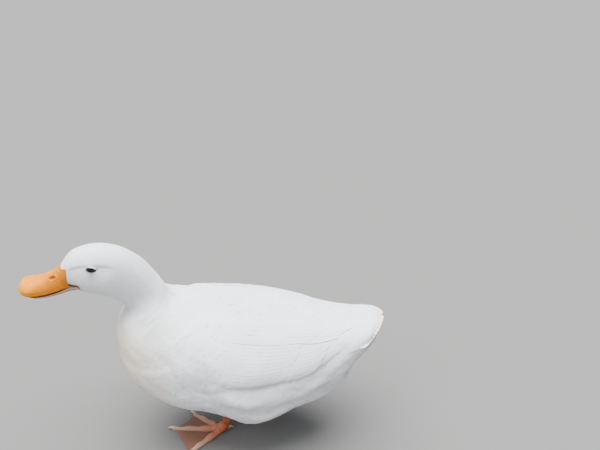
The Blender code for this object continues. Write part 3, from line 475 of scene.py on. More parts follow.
def flesh(s, a):
    """Points of the body's form at stations s and angles a, in design space."""
    s, a = np.broadcast_arrays(np.asarray(s, float), np.asarray(a, float))
    inside = np.clip(s, 0.0, LAST_STATION)
    row = station_rows(inside)
    zero = np.zeros_like(s)
    back = np.stack((row[..., 0], zero, row[..., 1]), axis=-1)
    belly = np.stack((row[..., 2], zero, row[..., 3]), axis=-1)
    span = back - belly
    height = np.linalg.norm(span, axis=-1)
    up = span / height[..., None]
    rise = np.where(np.sin(a) > 0, height * (1 - row[..., 5]), height * row[..., 5]) * np.sin(a)
    aside = np.stack((zero, row[..., 4] * np.cos(a), zero), axis=-1)
    point = belly + span * row[..., 5, None] + up * rise[..., None] + aside
    outward = unit(up * np.sin(a)[..., None] + np.stack((zero, np.cos(a), zero), axis=-1))
    push = zero.copy()
    for centre, bulge, spread in BULGES:
        away = np.stack((point[..., 0], np.abs(point[..., 1]), point[..., 2]), axis=-1) - np.array(centre)
        push += bulge * np.exp(-dot(away, away) / (2 * spread**2))
    return turned(point + outward * push[..., None], smooth_step(TURN_START, TURN_END, inside))


def tangents(s, a, step=0.02):
    """The body's tangents along the stations and round the section."""
    low, high = np.clip(s - step, 0, LAST_STATION), np.clip(s + step, 0, LAST_STATION)
    forward = (flesh(high, a) - flesh(low, a)) / (high - low)[..., None]
    around = (flesh(s, a + step) - flesh(s, a - step)) / (2 * step)
    return forward, around


def coat(s, a, lift):
    """Points over the body and the outward directions there. Past an end it goes straight on."""
    s, a = np.broadcast_arrays(np.asarray(s, float), np.asarray(a, float))
    inside = np.clip(s, 0.0, LAST_STATION)
    forward, around = tangents(inside, a)
    normal = unit(np.cross(around, forward))
    point = flesh(inside, a) + forward * (s - inside)[..., None] + normal * np.asarray(lift)[..., None]
    return point, normal


def mirrored(a, side):
    """The angle on the given side."""
    return a if side > 0 else math.pi - a


def from_side(a):
    """The angle as on the left side, between -90 below and 90 degrees above."""
    beside = np.where(np.cos(a) < 0, math.pi - a, a)
    return np.degrees((beside + math.pi) % (2 * math.pi) - math.pi)


def eye_place(side, step=0.1):
    """Centre of the eyeball and the outward, forward and downward directions there."""
    s, a = np.array(EYE_STATION), np.array(mirrored(EYE_ANGLE, side))
    forward, around = tangents(s, a)
    out = unit(np.cross(around, forward))
    ahead = unit(flesh(s + step, a) - flesh(s - step, a))
    down = unit(np.cross(out, ahead)) * side
    return flesh(s, a) - out * EYE_DEPTH, out, ahead, down


LOW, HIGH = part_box("eye_left")
OFFSET = np.array((LOW + HIGH) / 2) - eye_place(1)[0]


# Meshes


def make_object(name, points, faces, material, normals=None, maps=None, body="root"):
    """A mesh piece in the frame, from design-space points and lists of quads or triangles."""
    points = np.asarray(points, float).reshape(-1, 3) + OFFSET
    groups = [np.asarray(group, np.int32) for group in (faces if isinstance(faces, list) else [faces])]
    corners = np.concatenate([group.ravel() for group in groups])
    sizes = np.concatenate([np.full(len(group), group.shape[1], np.int32) for group in groups])
    mesh = bpy.data.meshes.new(name)
    mesh.vertices.add(len(points))
    mesh.vertices.foreach_set("co", points.astype(np.float32).ravel())
    mesh.loops.add(len(corners))
    mesh.loops.foreach_set("vertex_index", corners)
    mesh.polygons.add(len(sizes))
    mesh.polygons.foreach_set("loop_start", np.concatenate(([0], np.cumsum(sizes)[:-1])).astype(np.int32))
    mesh.update(calc_edges=True)
    for map_name, spots in (maps or {}).items():
        layer = mesh.uv_layers.new(name=map_name)
        layer.data.foreach_set("uv", spots.reshape(-1, 2)[corners].astype(np.float32).ravel())
    mesh.materials.append(material)
    mesh.shade_smooth()
    if normals is not None:
        mesh.normals_split_custom_set_from_vertices(normals.reshape(-1, 3).tolist())
    made = bpy.data.objects.new(name, mesh)
    bpy.context.scene.collection.objects.link(made)
    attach(made, body)
    return made


def cap(first, count, centre, flip=False):
    """Triangles from one ring of points to its centre point."""
    k = np.arange(count)
    near, far = first + k, first + (k + 1) % count
    pairs = (far, near) if flip else (near, far)
    return np.stack((np.full(count, centre), *pairs), axis=-1)


def grid_faces(rows, columns, closed=False):
    """Quads of one grid of rows by columns of points."""
    r = np.arange(rows - 1)[:, None]
    c = np.arange(columns if closed else columns - 1)[None, :]
    right = (c + 1) % columns
    near, far = r * columns, (r + 1) * columns
    return np.stack((near + c, near + right, far + right, far + c), axis=-1).reshape(-1, 4)


def closed_grid(points):
    """Points and faces of a closed form from rings of points, with both ends capped."""
    rows, columns = points.shape[:2]
    grid = np.vstack((points.reshape(-1, 3), points[0].mean(axis=0), points[-1].mean(axis=0)))
    last = (rows - 1) * columns
    caps = np.vstack((
        cap(0, columns, rows * columns, flip=True),
        cap(last, columns, rows * columns + 1),
    ))
    return grid, [grid_faces(rows, columns, closed=True), caps]


def joined(forms):
    """One set of points, faces and marks from several closed forms with a mark each."""
    points, quads, triangles, marks, start = [], [], [], [], 0
    for (grid, (four, three)), mark in forms:
        points.append(grid)
        quads.append(four + start)
        triangles.append(three + start)
        marks.append(np.broadcast_to(mark, (len(grid), 2)))
        start += len(grid)
    return np.vstack(points), [np.vstack(quads), np.vstack(triangles)], np.vstack(marks)


def repeated(quads, count, stride):
    return (quads[None] + (np.arange(count) * stride)[:, None, None]).reshape(-1, quads.shape[1])


def facing(faces, outward):
    """The faces as they are, or turned over where the form is mirrored."""
    return faces if outward else [group[:, ::-1] for group in faces]


def marked(dark, pale):
    """A map of two marks for each point."""
    return np.stack(np.broadcast_arrays(dark, pale), axis=-1).reshape(-1, 2)


# Plumage


def wing_share(s, a):
    """How far up the folded wing a place is, 0 at its lower edge and 1 at its upper one."""
    low, high = curve(WING_LOW_EDGE, s), curve(WING_HIGH_EDGE, s)
    return (from_side(a) - low) / (high - low)


def wing_rise(s, a):
    """How far the folded wing lifts the plumage off the body there."""
    v = wing_share(s, a)
    blend = WING_BLEND * smooth_step(*WING_FRONT, s)
    crease = (v - WING_CREASE[0] + blend) / (WING_CREASE[1] - WING_CREASE[0] + 2 * blend)
    edge = (1 - (1 - np.clip(crease, 0, 1)) ** WING_ROUND) * (1 - smooth_step(*WING_TOP, v))
    return curve(WING_HEIGHT, s) * edge * (s > WING_HEIGHT[0][0]) * (s < WING_HEIGHT[-1][0])


def ruffle(points):
    """The slight unevenness of loose plumage."""
    total = 0.0
    for height, wave, turn in RUFFLES:
        x, y, z = (points[..., k] * 2 * math.pi / wave for k in range(3))
        total = total + height * np.sin(x + 1.7 * np.sin(z + turn)) * np.cos(0.8 * z + y + turn)
    return total


def fold_rise(s, a):
    """Lines of the face, the partings and the soft swells and hollows of the plumage."""
    beside = from_side(a)
    line = (beside - curve(BROW_LINE, s)) / BROW_HALF
    line = np.where(line < 0, line / BROW_FADE, line)
    total = -BROW_DEPTH * np.exp(-(line**2)) * smooth_step(*BROW_START, s) * (1 - smooth_step(*BROW_END, s))
    for near, angle, reach, spread, height in SWELLS:
        away = ((s - near) / reach) ** 2 + ((beside - angle) / spread) ** 2
        total = total + height * np.exp(-away)
    return total


def coat_rise(s, a):
    """How far the plumage as a whole stands over the body's form."""
    loose = 1 - smooth_step(*LOOSE_END, s)
    return wing_rise(s, a) + fold_rise(s, a) + ruffle(flesh(np.clip(s, 0, LAST_STATION), a)) * loose


def relief_normal(s, a, step=0.03):
    """The outward direction of the body with its wings, folds and ruffles."""
    forward, around = tangents(np.clip(s, 0.0, LAST_STATION), a)
    normal = unit(np.cross(around, forward))
    along = (coat_rise(s + step, a) - coat_rise(s - step, a)) / (2 * step)
    across = (coat_rise(s, a + step) - coat_rise(s, a - step)) / (2 * step)
    return unit(np.cross(around + normal * across[..., None], forward + normal * along[..., None]))


def soft_normals(points, outward, smooth, softness):
    """The outward directions of grids of points, softened towards the smooth ones."""
    own = unit(np.cross(np.gradient(points, axis=-2), np.gradient(points, axis=-3)))
    own = own * np.sign(dot(own, outward))[..., None]
    return unit(smooth * softness + own * (1 - softness))


def coat_roots(rng):
    """Root places of the small feathers, in staggered rows that keep the coat's own spacing."""
    s_line = np.linspace(ROOT_END, LAST_STATION - ROOT_END, 700)
    a_line = np.linspace(0, 2 * math.pi, 361)
    spots = flesh(s_line[:, None], a_line[None, :])
    steps = np.linalg.norm(np.diff(spots, axis=0), axis=-1)
    spacing = curve(COAT["spacing"], s_line)
    middle = (spacing[1:] + spacing[:-1])[:, None] / 2
    count = np.vstack((np.zeros((1, len(a_line))), np.cumsum(steps / (middle * ROW_STEP), axis=0)))
    found_s, found_a = [], []
    for k in range(int(count[-1].max())):
        level = k + 0.5
        row_s = np.array([np.interp(level, count[:, j], s_line) for j in range(len(a_line))])
        valid = count[-1] > level
        line = flesh(row_s, a_line)
        gap = curve(COAT["spacing"], row_s)
        run = np.linalg.norm(np.diff(line, axis=0), axis=-1) / ((gap[1:] + gap[:-1]) / 2)
        run = np.where(valid[1:] & valid[:-1], run, 0.0)
        total = np.concatenate(([0.0], np.cumsum(run)))
        places = np.arange(0.5 * (k % 2), total[-1], 1.0)
        places = places + rng.uniform(-ROOT_JITTER, ROOT_JITTER, len(places))
        a = np.interp(places, total, a_line)
        shift = rng.uniform(-ROOT_JITTER, ROOT_JITTER, len(a)) * ROOT_SHIFT
        found_s.append(np.interp(a, a_line, row_s) + shift)
        found_a.append(a)
    return np.concatenate(found_s), np.concatenate(found_a)


def unwrap_spot(s, a):
    """Where a place on the body falls on the skin's unwrap."""
    s_line = np.linspace(0, LAST_STATION, 200)
    run = run_along(flesh(s_line, np.zeros(200)))
    v = np.interp(s, s_line, run / run[-1])
    return np.stack(((a / (2 * math.pi)) % 1.0 * 0.98 + 0.01, v * 0.96 + 0.02), axis=-1)


def fineness(points):
    """How much smaller the feathers are round the eyes."""
    away = [np.linalg.norm(points - eye_place(side)[0], axis=-1) for side in (1, -1)]
    return FINE_SHARE + (1 - FINE_SHARE) * smooth_step(*FINE_REACH, np.minimum(*away))


def small_feathers(name, s0, a0, material, rng):
    """One piece of the coat: a curved vane with a ragged tip at each root place."""
    size = {key: curve(table, s0) for key, table in COAT.items()}
    vary = rng.uniform(*SIZE_SPREAD, (4, len(s0)))
    fine = fineness(flesh(s0, a0))
    forward, around = tangents(s0, a0)
    most = (s0 - TAIL_REACH) * np.linalg.norm(forward, axis=-1)
    length, width = np.minimum(size["length"] * vary[0] * fine, most), size["width"] * vary[1] * fine
    normal = unit(np.cross(around, forward))
    yaw = rng.normal(0.0, FEATHER_YAW, len(s0))[:, None]
    back = unit(-forward)
    ahead = back * np.cos(yaw) + np.cross(normal, back) * np.sin(yaw)
    beside = np.cross(normal, ahead)
    ff, fa, aa = dot(forward, forward), dot(forward, around), dot(around, around)
    scale = ff * aa - fa**2

    def surface_step(direction):
        along, round_it = dot(forward, direction), dot(around, direction)
        steps = (aa * along - fa * round_it) / scale, (ff * round_it - fa * along) / scale
        return (step[:, None, None] for step in steps)

    out_s, out_a = surface_step(ahead)
    side_s, side_a = surface_step(beside)
    rows, columns = len(VANE_ROWS), len(VANE_COLUMNS)
    u = np.array(VANE_ROWS)[None, :, None]
    v = VANE_COLUMNS[None, None, :]
    ragged = rng.uniform(-0.6, 0.6, (len(s0), 1, columns)) + (-1.0) ** np.arange(columns)[None, None, :]
    tip = size["spacing"] * (TIP_LIFT * vary[2] + TIP_SPREAD * rng.uniform(-1, 1, len(s0)))
    length, width, sink, tip = (value[:, None, None] for value in (length, width, size["sink"], tip))
    x = length * (u - u**3 * TIP_ROUNDNESS * v**2 - TIP_RAGGED * ragged * (u > VANE_ROWS[-2]))
    y = width / 2 * np.array(VANE_WIDTHS)[None, :, None] * v
    s = s0[:, None, None] + x * out_s + y * side_s
    a = a0[:, None, None] + x * out_a + y * side_a
    lift = tip * u - sink * (1 - u) ** ROOT_DIP - width * FEATHER_DOME * v**2 * (0.4 + 0.6 * u)
    points, body_normal = coat(s, a, lift + coat_rise(s, a))
    normals = soft_normals(points, body_normal, relief_normal(s, a), NORMAL_SOFTNESS)
    quads = repeated(grid_faces(rows, columns)[:, ::-1], len(s0), rows * columns)
    spot = unwrap_spot(s0, a0)[:, None, None, :]
    local = np.stack(np.broadcast_arrays(v, 2 * u - 1), axis=-1) * PATCH / 2
    fixed = np.stack(np.broadcast_arrays(v * width / 2, u * length), axis=-1)
    # The tone map holds the share along the vane, which carries painted shade towards the root, and a random
    # tone for each feather.
    tone = np.stack(np.broadcast_arrays(u, rng.random((len(s0), 1, 1)), v)[:2], axis=-1)
    maps = {"OFBake": spot + local, "vane": fixed, "tone": tone}
    return make_object(name, points, quads, material, normals, maps)


def shaft_ridge(v, t):
    """How high the shaft stands over a long feather, from its root to its tip."""
    return SHAFT_RIDGE * np.exp(-((v / SHAFT_BREADTH) ** 2)) * (1 - SHAFT_TAPER * t)


def vane_thickness(v):
    """How thick a long feather is, thinner towards its edges."""
    return VANE_THICKNESS * (1 - VANE_TAPER * np.abs(v))


def long_vane(s, a, lift, half, lean, rng):
    """One long feather: both faces, a raised shaft and a slightly split edge. Rows run to the tip."""
    forward, around = tangents(s, a)
    half, v = half[:, None], LONG_COLUMNS[None, :]
    split = 1 - SPLIT_DEPTH * (rng.random((len(s), 2)) < SPLIT_ODDS) * rng.uniform(0.4, 1.0, (len(s), 2))
    edge = np.ones((len(s), len(LONG_COLUMNS)))
    edge[2:-1, [0, -1]] = split[2:-1]
    y = half * v * edge
    ridge = shaft_ridge(v, np.linspace(0, 1, len(s))[:, None])
    height = lift[:, None] - lean[:, None] * y - VANE_DOME * half * v**2
    slant = VANE_SLANT * half * np.abs(v) / np.linalg.norm(forward, axis=-1)[:, None]
    places = s[:, None] + slant, a[:, None] + y / np.linalg.norm(around, axis=-1)[:, None]
    loose = coat_rise(*places)
    top, normal = coat(*places, height + ridge + loose)
    under, _ = coat(*places, height + loose - vane_thickness(v))
    return top, under, normal


def vane_faces(rows, columns):
    """Quads of a closed vane whose top and under grids follow each other."""
    top = grid_faces(rows, columns)[:, ::-1]
    half = rows * columns
    rim = []
    for r in range(rows - 1):
        near, far = r * columns, (r + 1) * columns
        rim.append((near, far, far + half, near + half))
        near, far = near + columns - 1, far + columns - 1
        rim.append((near, near + half, far + half, far))
    for c in range(columns - 1):
        end = (rows - 1) * columns + c
        rim.append((c, c + half, c + 1 + half, c + 1))
        rim.append((end, end + 1, end + 1 + half, end + half))
    return np.vstack((top, top[:, ::-1] + half, np.array(rim)))


def tier_vanes(tier, side, rng):
    """The long feathers of one row, each over the next lower one."""
    panel, count, roots, tips, width, lifts, outline = tier
    low_line, high_line = FEATHER_LINES[panel]
    t = LONG_ROWS
    made = []
    for i in range(count):
        share = i / (count - 1)
        root = roots[0] + (roots[1] - roots[0]) * share
        tip = tips[0] + (tips[1] - tips[0]) * share + rng.uniform(-TIP_JITTER, TIP_JITTER)
        s = root + (tip - root) * t
        low, high = np.radians(curve(low_line, s)), np.radians(curve(high_line, s))
        a = low + (high - low) * share
        gap = (high - low) * np.linalg.norm(tangents(s, a)[1], axis=-1) / (count - 1)
        lean = np.copysign(np.minimum(TIER_STEP / np.abs(gap), STEEPEST_LEAN), gap) * side
        half = width / 2 * curve(OUTLINES[outline], t) * rng.uniform(*TIER_WIDTH_SPREAD)
        lift = curve(tuple(zip(LIFT_PLACES, lifts)), t)
        a = mirrored(a, side)
        made.append((*long_vane(s, a, lift, half, lean, rng), unwrap_spot(s[0], a[0])))
    return made


def join_vanes(name, vanes, material, rng):
    """One piece from many long feathers."""
    rows, columns = len(LONG_ROWS), len(LONG_COLUMNS)
    u, v = np.meshgrid(LONG_ROWS, LONG_COLUMNS, indexing="ij")
    local = np.stack((v, 2 * u - 1), axis=-1) * PATCH / 2
    points, spots, fixed, directions = [], [], [], []
    for top, under, normal, spot in vanes:
        soft = soft_normals(top, normal, normal, LONG_SOFTNESS)
        run = run_along(top[:, columns // 2])[:, None]
        wide = np.linalg.norm(top[:, -1] - top[:, 0], axis=-1)[:, None] / 2
        points.append((top, under))
        directions.append((soft, -soft))
        spots.append((spot + local,) * 2)
        fixed.append((np.stack(np.broadcast_arrays(v * wide, run), axis=-1),) * 2)
    quads = repeated(vane_faces(rows, columns), len(vanes), 2 * rows * columns)
    # The tone map holds the share along the vane, which carries painted shade towards the root, and a random
    # tone for each feather.
    tone = np.stack(np.broadcast_arrays(u, rng.random((len(vanes), 2, 1, 1))), axis=-1)
    maps = {"OFBake": np.array(spots), "vane": np.array(fixed), "tone": tone}
    return make_object(name, np.array(points), quads, material, np.array(directions), maps)


def fan_vane(place, side, rng):
    """One straight tail feather of the fan, from the root to the tip."""
    root = FAN_ROOT + FAN_ROOT_STEP * place
    tip = FAN_TIP + FAN_TIP_STEP * place + FAN_TIP_CURVE * place**2
    root, tip = root * (1, side, 1), tip * (1, side, 1)
    ahead = unit(tip - root)
    across = np.array((0.0, 1.0, -(FAN_TILT[0] + FAN_TILT[1] * place) * side))
    across = unit(across - ahead * dot(across, ahead))
    up = np.cross(across, ahead)
    up = up if up[2] > 0 else -up
    t = LONG_ROWS[:, None]
    v = LONG_COLUMNS[None, :]
    half = FAN_WIDTH / 2 * curve(OUTLINES["long"], LONG_ROWS)[:, None] * rng.uniform(*FAN_WIDTH_SPREAD)
    over = FAN_OVERLAP * (side < 0) + FAN_ARCH * np.sin(math.pi * t) - FAN_DROP * place
    spot = root + (tip - root) * t[..., None] + up * (over - FAN_DOME * half * v**2)[..., None]
    top = spot - across * (half * v)[..., None] - ahead * (FAN_SLANT * half * np.abs(v))[..., None]
    top = top + up * shaft_ridge(v, t)[..., None]
    under = top - up * (vane_thickness(v) + 0 * t)[..., None]
    return top, under, np.broadcast_to(up, top.shape), np.array((0.25 + 0.02 * place * side, 0.02))


# Materials


def principled(name, colour, roughness, **sockets):
    made = bpy.data.materials.new(name)
    made.use_nodes = True
    shader = made.node_tree.nodes["Principled BSDF"]
    shader.inputs["Base Color"].default_value = (*colour, 1.0)
    shader.inputs["Roughness"].default_value = roughness
    for key, value in sockets.items():
        shader.inputs[key.replace("_", " ")].default_value = value
    return made, made.node_tree, shader


def add_node(tree, kind, **values):
    made = tree.nodes.new(kind)
    for key, value in values.items():
        if hasattr(made, key):
            setattr(made, key, value)
        else:
            made.inputs[key.replace("_", " ")].default_value = value
    return made


def ranged(tree, socket, low, high, first, last):
    """The socket's value carried from one range to another."""
    made = add_node(tree, "ShaderNodeMapRange")
    for key, value in (("From Min", low), ("From Max", high), ("To Min", first), ("To Max", last)):
        made.inputs[key].default_value = value
    tree.links.new(socket, made.inputs["Value"])
    return made.outputs["Result"]


def split_xyz(tree, socket):
    split = add_node(tree, "ShaderNodeSeparateXYZ")
    tree.links.new(socket, split.inputs[0])
    return split.outputs


def object_place(tree):
    return add_node(tree, "ShaderNodeTexCoord").outputs["Object"]


def mesh_map(tree, name):
    return add_node(tree, "ShaderNodeUVMap", uv_map=name).outputs["UV"]


def textured(tree, kind, place, output, **values):
    """The output of a texture over the given coordinates."""
    made = add_node(tree, kind, **values)
    tree.links.new(place, made.inputs["Vector"])
    return made.outputs[output]


def noise(tree, scale, detail, distortion=0.0):
    values = {"Scale": scale, "Detail": detail, "Distortion": distortion}
    return textured(tree, "ShaderNodeTexNoise", object_place(tree), "Fac", **values)


def ramped(tree, socket, *stops):
    """The colour that a ramp gives the socket's value. A stop is its position and its colour."""
    made = tree.nodes.new("ShaderNodeValToRGB")
    elements = made.color_ramp.elements
    while len(elements) < len(stops):
        elements.new(0.5)
    for element, (position, colour) in zip(elements, stops):
        element.position = position
        element.color = (*colour, 1)
    tree.links.new(socket, made.inputs["Fac"])
    return made.outputs["Color"]


def mixed(tree, blend, factor, first, second):
    """The colour socket of a mix. A factor or colour is a socket or a value."""
    made = add_node(tree, "ShaderNodeMix", data_type="RGBA", blend_type=blend)
    for slot, value in ((0, factor), (6, first), (7, second)):
        if isinstance(value, bpy.types.NodeSocket):
            tree.links.new(value, made.inputs[slot])
        else:
            made.inputs[slot].default_value = value if slot == 0 else (*value, 1)
    return made.outputs[2]


def surfaced(tree, shader, colour, relief=None, bump=None, roughness=None):
    """Links the shader's colour, its relief as a bump of a strength and distance, and its roughness."""
    tree.links.new(colour, shader.inputs["Base Color"])
    if relief is not None:
        made = add_node(tree, "ShaderNodeBump", Strength=bump[0], Distance=bump[1])
        tree.links.new(relief, made.inputs["Height"])
        tree.links.new(made.outputs["Normal"], shader.inputs["Normal"])
    if roughness is not None:
        tree.links.new(roughness, shader.inputs["Roughness"])


def plumage_material():
    """White feathers: cream on the breast and the tail's edge, the breast's cream partly painted warm light
    from below; each vane its own tone, with painted shade towards its root; faint barbs.
    """
    made, tree, shader = principled("plumage", (0.90, 0.90, 0.88), 0.70,
                                    Sheen_Weight=0.15, Sheen_Roughness=0.5)
    place = split_xyz(tree, object_place(tree))
    clouds = noise(tree, 28.0, 3.0)
    white = ramped(tree, clouds, (0.30, (0.86, 0.868, 0.868)), (0.68, (0.92, 0.925, 0.92)))
    front = ranged(tree, place["X"], *CREAM_FRONT, 0.0, 1.0)
    # Creamier towards the bottom: partly the plumage's own cream, partly painted warm light from below.
    below = ranged(tree, place["Z"], *CREAM_AND_WARM_BOUNCE_BELOW, 0.0, CREAM_SHARE)
    both = add_node(tree, "ShaderNodeMath", operation="MULTIPLY")
    tree.links.new(front, both.inputs[0])
    tree.links.new(below, both.inputs[1])
    warm = mixed(tree, "MIX", both.outputs[0], white, CREAM)
    warm = mixed(tree, "MIX", ranged(tree, place["X"], *TAIL_CREAM, 0.0, CREAM_SHARE), warm, CREAM)
    tone = split_xyz(tree, mesh_map(tree, "tone"))
    # Painted shade: each vane is darker towards its root, where the feather over it shades it.
    along = ramped(tree, tone["X"], (0.0, (0.90,) * 3), (0.82, (0.965,) * 3), (1.0, FULL))
    own = ramped(tree, tone["Y"], (0.0, (0.955, 0.96, 0.965)), (1.0, FULL))
    colour = mixed(tree, "MULTIPLY", 1.0, warm, mixed(tree, "MULTIPLY", 1.0, along, own))
    values = {"Scale": 900.0, "Distortion": 2.0, "Detail": 1.0, "bands_direction": "DIAGONAL"}
    barbs = textured(tree, "ShaderNodeTexWave", mesh_map(tree, "vane"), "Fac", **values)
    surfaced(tree, shader, colour, barbs, (0.12, 0.0004), ranged(tree, clouds, 0.3, 0.7, 0.62, 0.78))
    return made


def grained_material(name, base, base_roughness, grain, stops, bump, roughness):
    """A material whose colour, relief and roughness all follow one noise."""
    made, tree, shader = principled(name, base, base_roughness)
    value = noise(tree, *grain)
    rough = ranged(tree, value, 0.3, 0.7, *roughness)
    surfaced(tree, shader, ramped(tree, value, *stops), value, bump, rough)
    return made


def down_material():
    """Soft white down under the feathers."""
    stops = (0.3, (0.76, 0.75, 0.73)), (0.65, (0.90, 0.89, 0.87))
    grain = (420.0, 5.0)
    return grained_material("down", (0.86, 0.85, 0.82), 0.85, grain, stops, (0.5, 0.0006), (0.75, 0.95))


def claw_material():
    """Pale horn with darker growth streaks."""
    stops = (0.30, (0.40, 0.29, 0.20)), (0.50, (0.60, 0.47, 0.35)), (0.72, (0.72, 0.60, 0.47))
    grain = (260.0, 6.0, 1.5)
    return grained_material("claws", (0.62, 0.50, 0.38), 0.35, grain, stops, (0.25, 0.0003), (0.28, 0.50))


def bill_material():
    """Waxy orange, yellower towards the tip; the marks map brings the painted shade of the nostrils, mouth,
    keel and edges, and the paler lower bill.
    """
    made, tree, shader = principled("bill", (0.80, 0.28, 0.03), 0.46, Specular_IOR_Level=0.12)
    start, end = (float(OFFSET[0]) + x for x in BILL_TINT)
    length = ranged(tree, split_xyz(tree, object_place(tree))["X"], start, end, 0.0, 1.0)
    mottle = noise(tree, 150.0, 5.0)
    spots = ramped(tree, mottle, (0.34, (0.76, 0.74, 0.72)), (0.60, FULL))
    mark = split_xyz(tree, mesh_map(tree, "marks"))
    tone = mixed(tree, "MIX", mark["Y"], ramped(tree, length, *BILL_ORANGE), LOWER_BILL_COLOUR)
    tone = mixed(tree, "MULTIPLY", 0.55, tone, spots)
    # Painted shade: the first mark darkens the colour towards the shade colour.
    dark = mixed(tree, "MULTIPLY", mark["X"], tone, BILL_SHADE_COLOUR)
    rough = ranged(tree, mottle, 0.0, 1.0, 0.34, 0.58)
    surfaced(tree, shader, dark, noise(tree, 700.0, 4.0), (0.22, 0.0004), rough)
    return made


def lid_material():
    """Pale skin with a dark rim along the opening, then painted shade that fades out over the lid."""
    made, tree, shader = principled("lids", (0.84, 0.82, 0.78), 0.6)
    rim = ramped(tree, split_xyz(tree, mesh_map(tree, "marks"))["X"], *LID_RIM_AND_SHADE)
    fine = noise(tree, 1400.0, 3.0)
    tint = ramped(tree, fine, (0.3, (0.86, 0.84, 0.82)), (0.6, FULL))
    surfaced(tree, shader, mixed(tree, "MULTIPLY", 0.6, rim, tint), fine, (0.3, 0.0003))
    return made


def eye_material():
    """A dark wet eye: black pupil in a deep brown iris."""
    made, tree, shader = principled("eye", (0.01, 0.008, 0.007), 0.05, Specular_IOR_Level=0.35)
    surfaced(tree, shader, ramped(tree, split_xyz(tree, mesh_map(tree, "ring"))["X"], *EYE_TONES))
    return made


def foot_material():
    """Orange-red scaly skin with darker creases, pale toes, and webs made browner, partly their own tone and
    partly painted shade.
    """
    made, tree, shader = principled("foot", (0.72, 0.20, 0.05), 0.5)
    values = {"Scale": 620.0, "feature": "DISTANCE_TO_EDGE"}
    cells = textured(tree, "ShaderNodeTexVoronoi", object_place(tree), "Distance", **values)
    mark = split_xyz(tree, mesh_map(tree, "marks"))
    pale = mixed(tree, "MIX", mark["Y"], ramped(tree, noise(tree, 70.0, 4.0), *FOOT_TONES), TOE_COLOUR)
    # The webs take their own browner tone together with painted shade.
    web = mixed(tree, "MIX", mark["X"], pale, WEB_TONE_AND_SHADE)
    crease = ramped(tree, cells, (0.0, (0.55, 0.50, 0.48)), (0.14, FULL))
    surfaced(tree, shader, mixed(tree, "MULTIPLY", 0.7, web, crease), cells, (0.45, 0.0005))
    return made


# Pieces of the coat


def make_skin(material):
    """One skin from the tail to the bill, a coat's depth inside the solids."""
    s = np.linspace(SKIN_START, LAST_STATION, 260)[:, None]
    a = np.linspace(0, 2 * math.pi, 128, endpoint=False)[None, :]
    depth = curve(COAT["sink"], s) * SKIN_SHARE
    depth = depth * (1 - SKIN_TAIL_SHARE * (1 - smooth_step(SKIN_START, SKIN_TAIL_END, s))) + 0 * a
    spots = flesh(s, a)
    for side in (1, -1):
        away = np.linalg.norm(spots - eye_place(side)[0], axis=-1)
        depth += EYE_HOLLOW * (1 - smooth_step(EYE_RADIUS, EYE_RADIUS * 1.5, away))
    points, _ = coat(s, a, -depth + fold_rise(s, a))
    grid, faces = closed_grid(points)
    skin = make_object("skin", grid, faces, material)
    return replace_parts(skin, "torso", "neck", "head")


def coat_pieces(material):
    """The small feathers in six pieces, left off under the wings' own ones, the mouth and the eyes."""
    rng = np.random.default_rng(SEED)
    s, a = coat_roots(rng)
    beside = wing_share(s, a)
    under_wing = (beside > curve(HAND_COVER, s)) & (beside < WING_TOP[0])
    under_wing = under_wing & (s > HAND_COVER[0][0]) & (s < curve(COVERT_START, beside))
    along_gape = (LAST_STATION - s) / GAPE_LENGTH
    low, high = curve(GAPE_LOW, along_gape), curve(GAPE_HIGH, along_gape)
    on_gape = (along_gape < 1) & (from_side(a) > low) & (from_side(a) < high)
    keep = ~under_wing & ~on_gape & (s > TAIL_BARE)
    s, a = s[keep], a[keep]
    spot = flesh(s, a)
    left, upper = np.cos(a) > 0, np.sin(a) > 0
    head, neck, breast = (s > border for border in COAT_BORDERS)
    groups = {
        "coat_head_left": head & left,
        "coat_head_right": head & ~left,
        "coat_neck": neck & ~head,
        "coat_breast": breast & ~neck,
        "coat_back": ~breast & upper,
        "coat_belly": ~breast & ~upper,
    }
    clear = np.ones(len(s), bool)
    for side in (1, -1):
        centre, out, ahead, down = eye_place(side)
        away = spot - centre
        along = (dot(away, ahead) - EYE_CLEAR_AHEAD) / (LID_OPENING[0] + EYE_CLEAR[0])
        across = dot(away, down) / (LID_OPENING[1] + EYE_CLEAR[1])
        clear = clear & ~((along**2 + across**2 < 1) & (dot(away, out) > 0))
    made = []
    for name, chosen in groups.items():
        made.append(small_feathers(name, s[chosen & clear], a[chosen & clear], material, rng))
    return made


def make_wings(material):
    """The folded wings, each in tiers of long feathers."""
    rng = np.random.default_rng(SEED + 1)
    for name, side in (("wing_left", 1), ("wing_right", -1)):
        vanes = []
        for tier in WING_TIERS.values():
            vanes += tier_vanes(tier, side, rng)
        wing = join_vanes(f"{name}_feathers", vanes, material, rng)
        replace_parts(wing, name)


def make_tail(material):
    """The tail fan with the coverts round its root."""
    rng = np.random.default_rng(SEED + 2)
    vanes = []
    for tier in TAIL_TIERS.values():
        for side in (1, -1):
            vanes += tier_vanes(tier, side, rng)
    for pair in range(FAN_PAIRS):
        for side in (1, -1):
            vanes.append(fan_vane(pair * FAN_SPREAD / (FAN_PAIRS - 1), side, rng))
    tail = join_vanes("tail_feathers", vanes, material, rng)
    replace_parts(tail, "tail")


# Bill, mouth and eyes


def bill_root_x(z):
    """Where the bill leaves the head at a height."""
    back_x, back_z, belly_x, belly_z = STATIONS[-1][:4]
    return belly_x + (back_x - belly_x) * (z - belly_z) / (back_z - belly_z)


def bill_place(t, y, z, tip_x):
    """Points at a share of the bill's length, from a little inside the head."""
    root = bill_root_x(z) - BILL_SUNK * (1 - smooth_step(0.0, 0.08, t)) + GAP
    return np.stack(np.broadcast_arrays(root + (tip_x - root) * t, y, z), axis=-1)


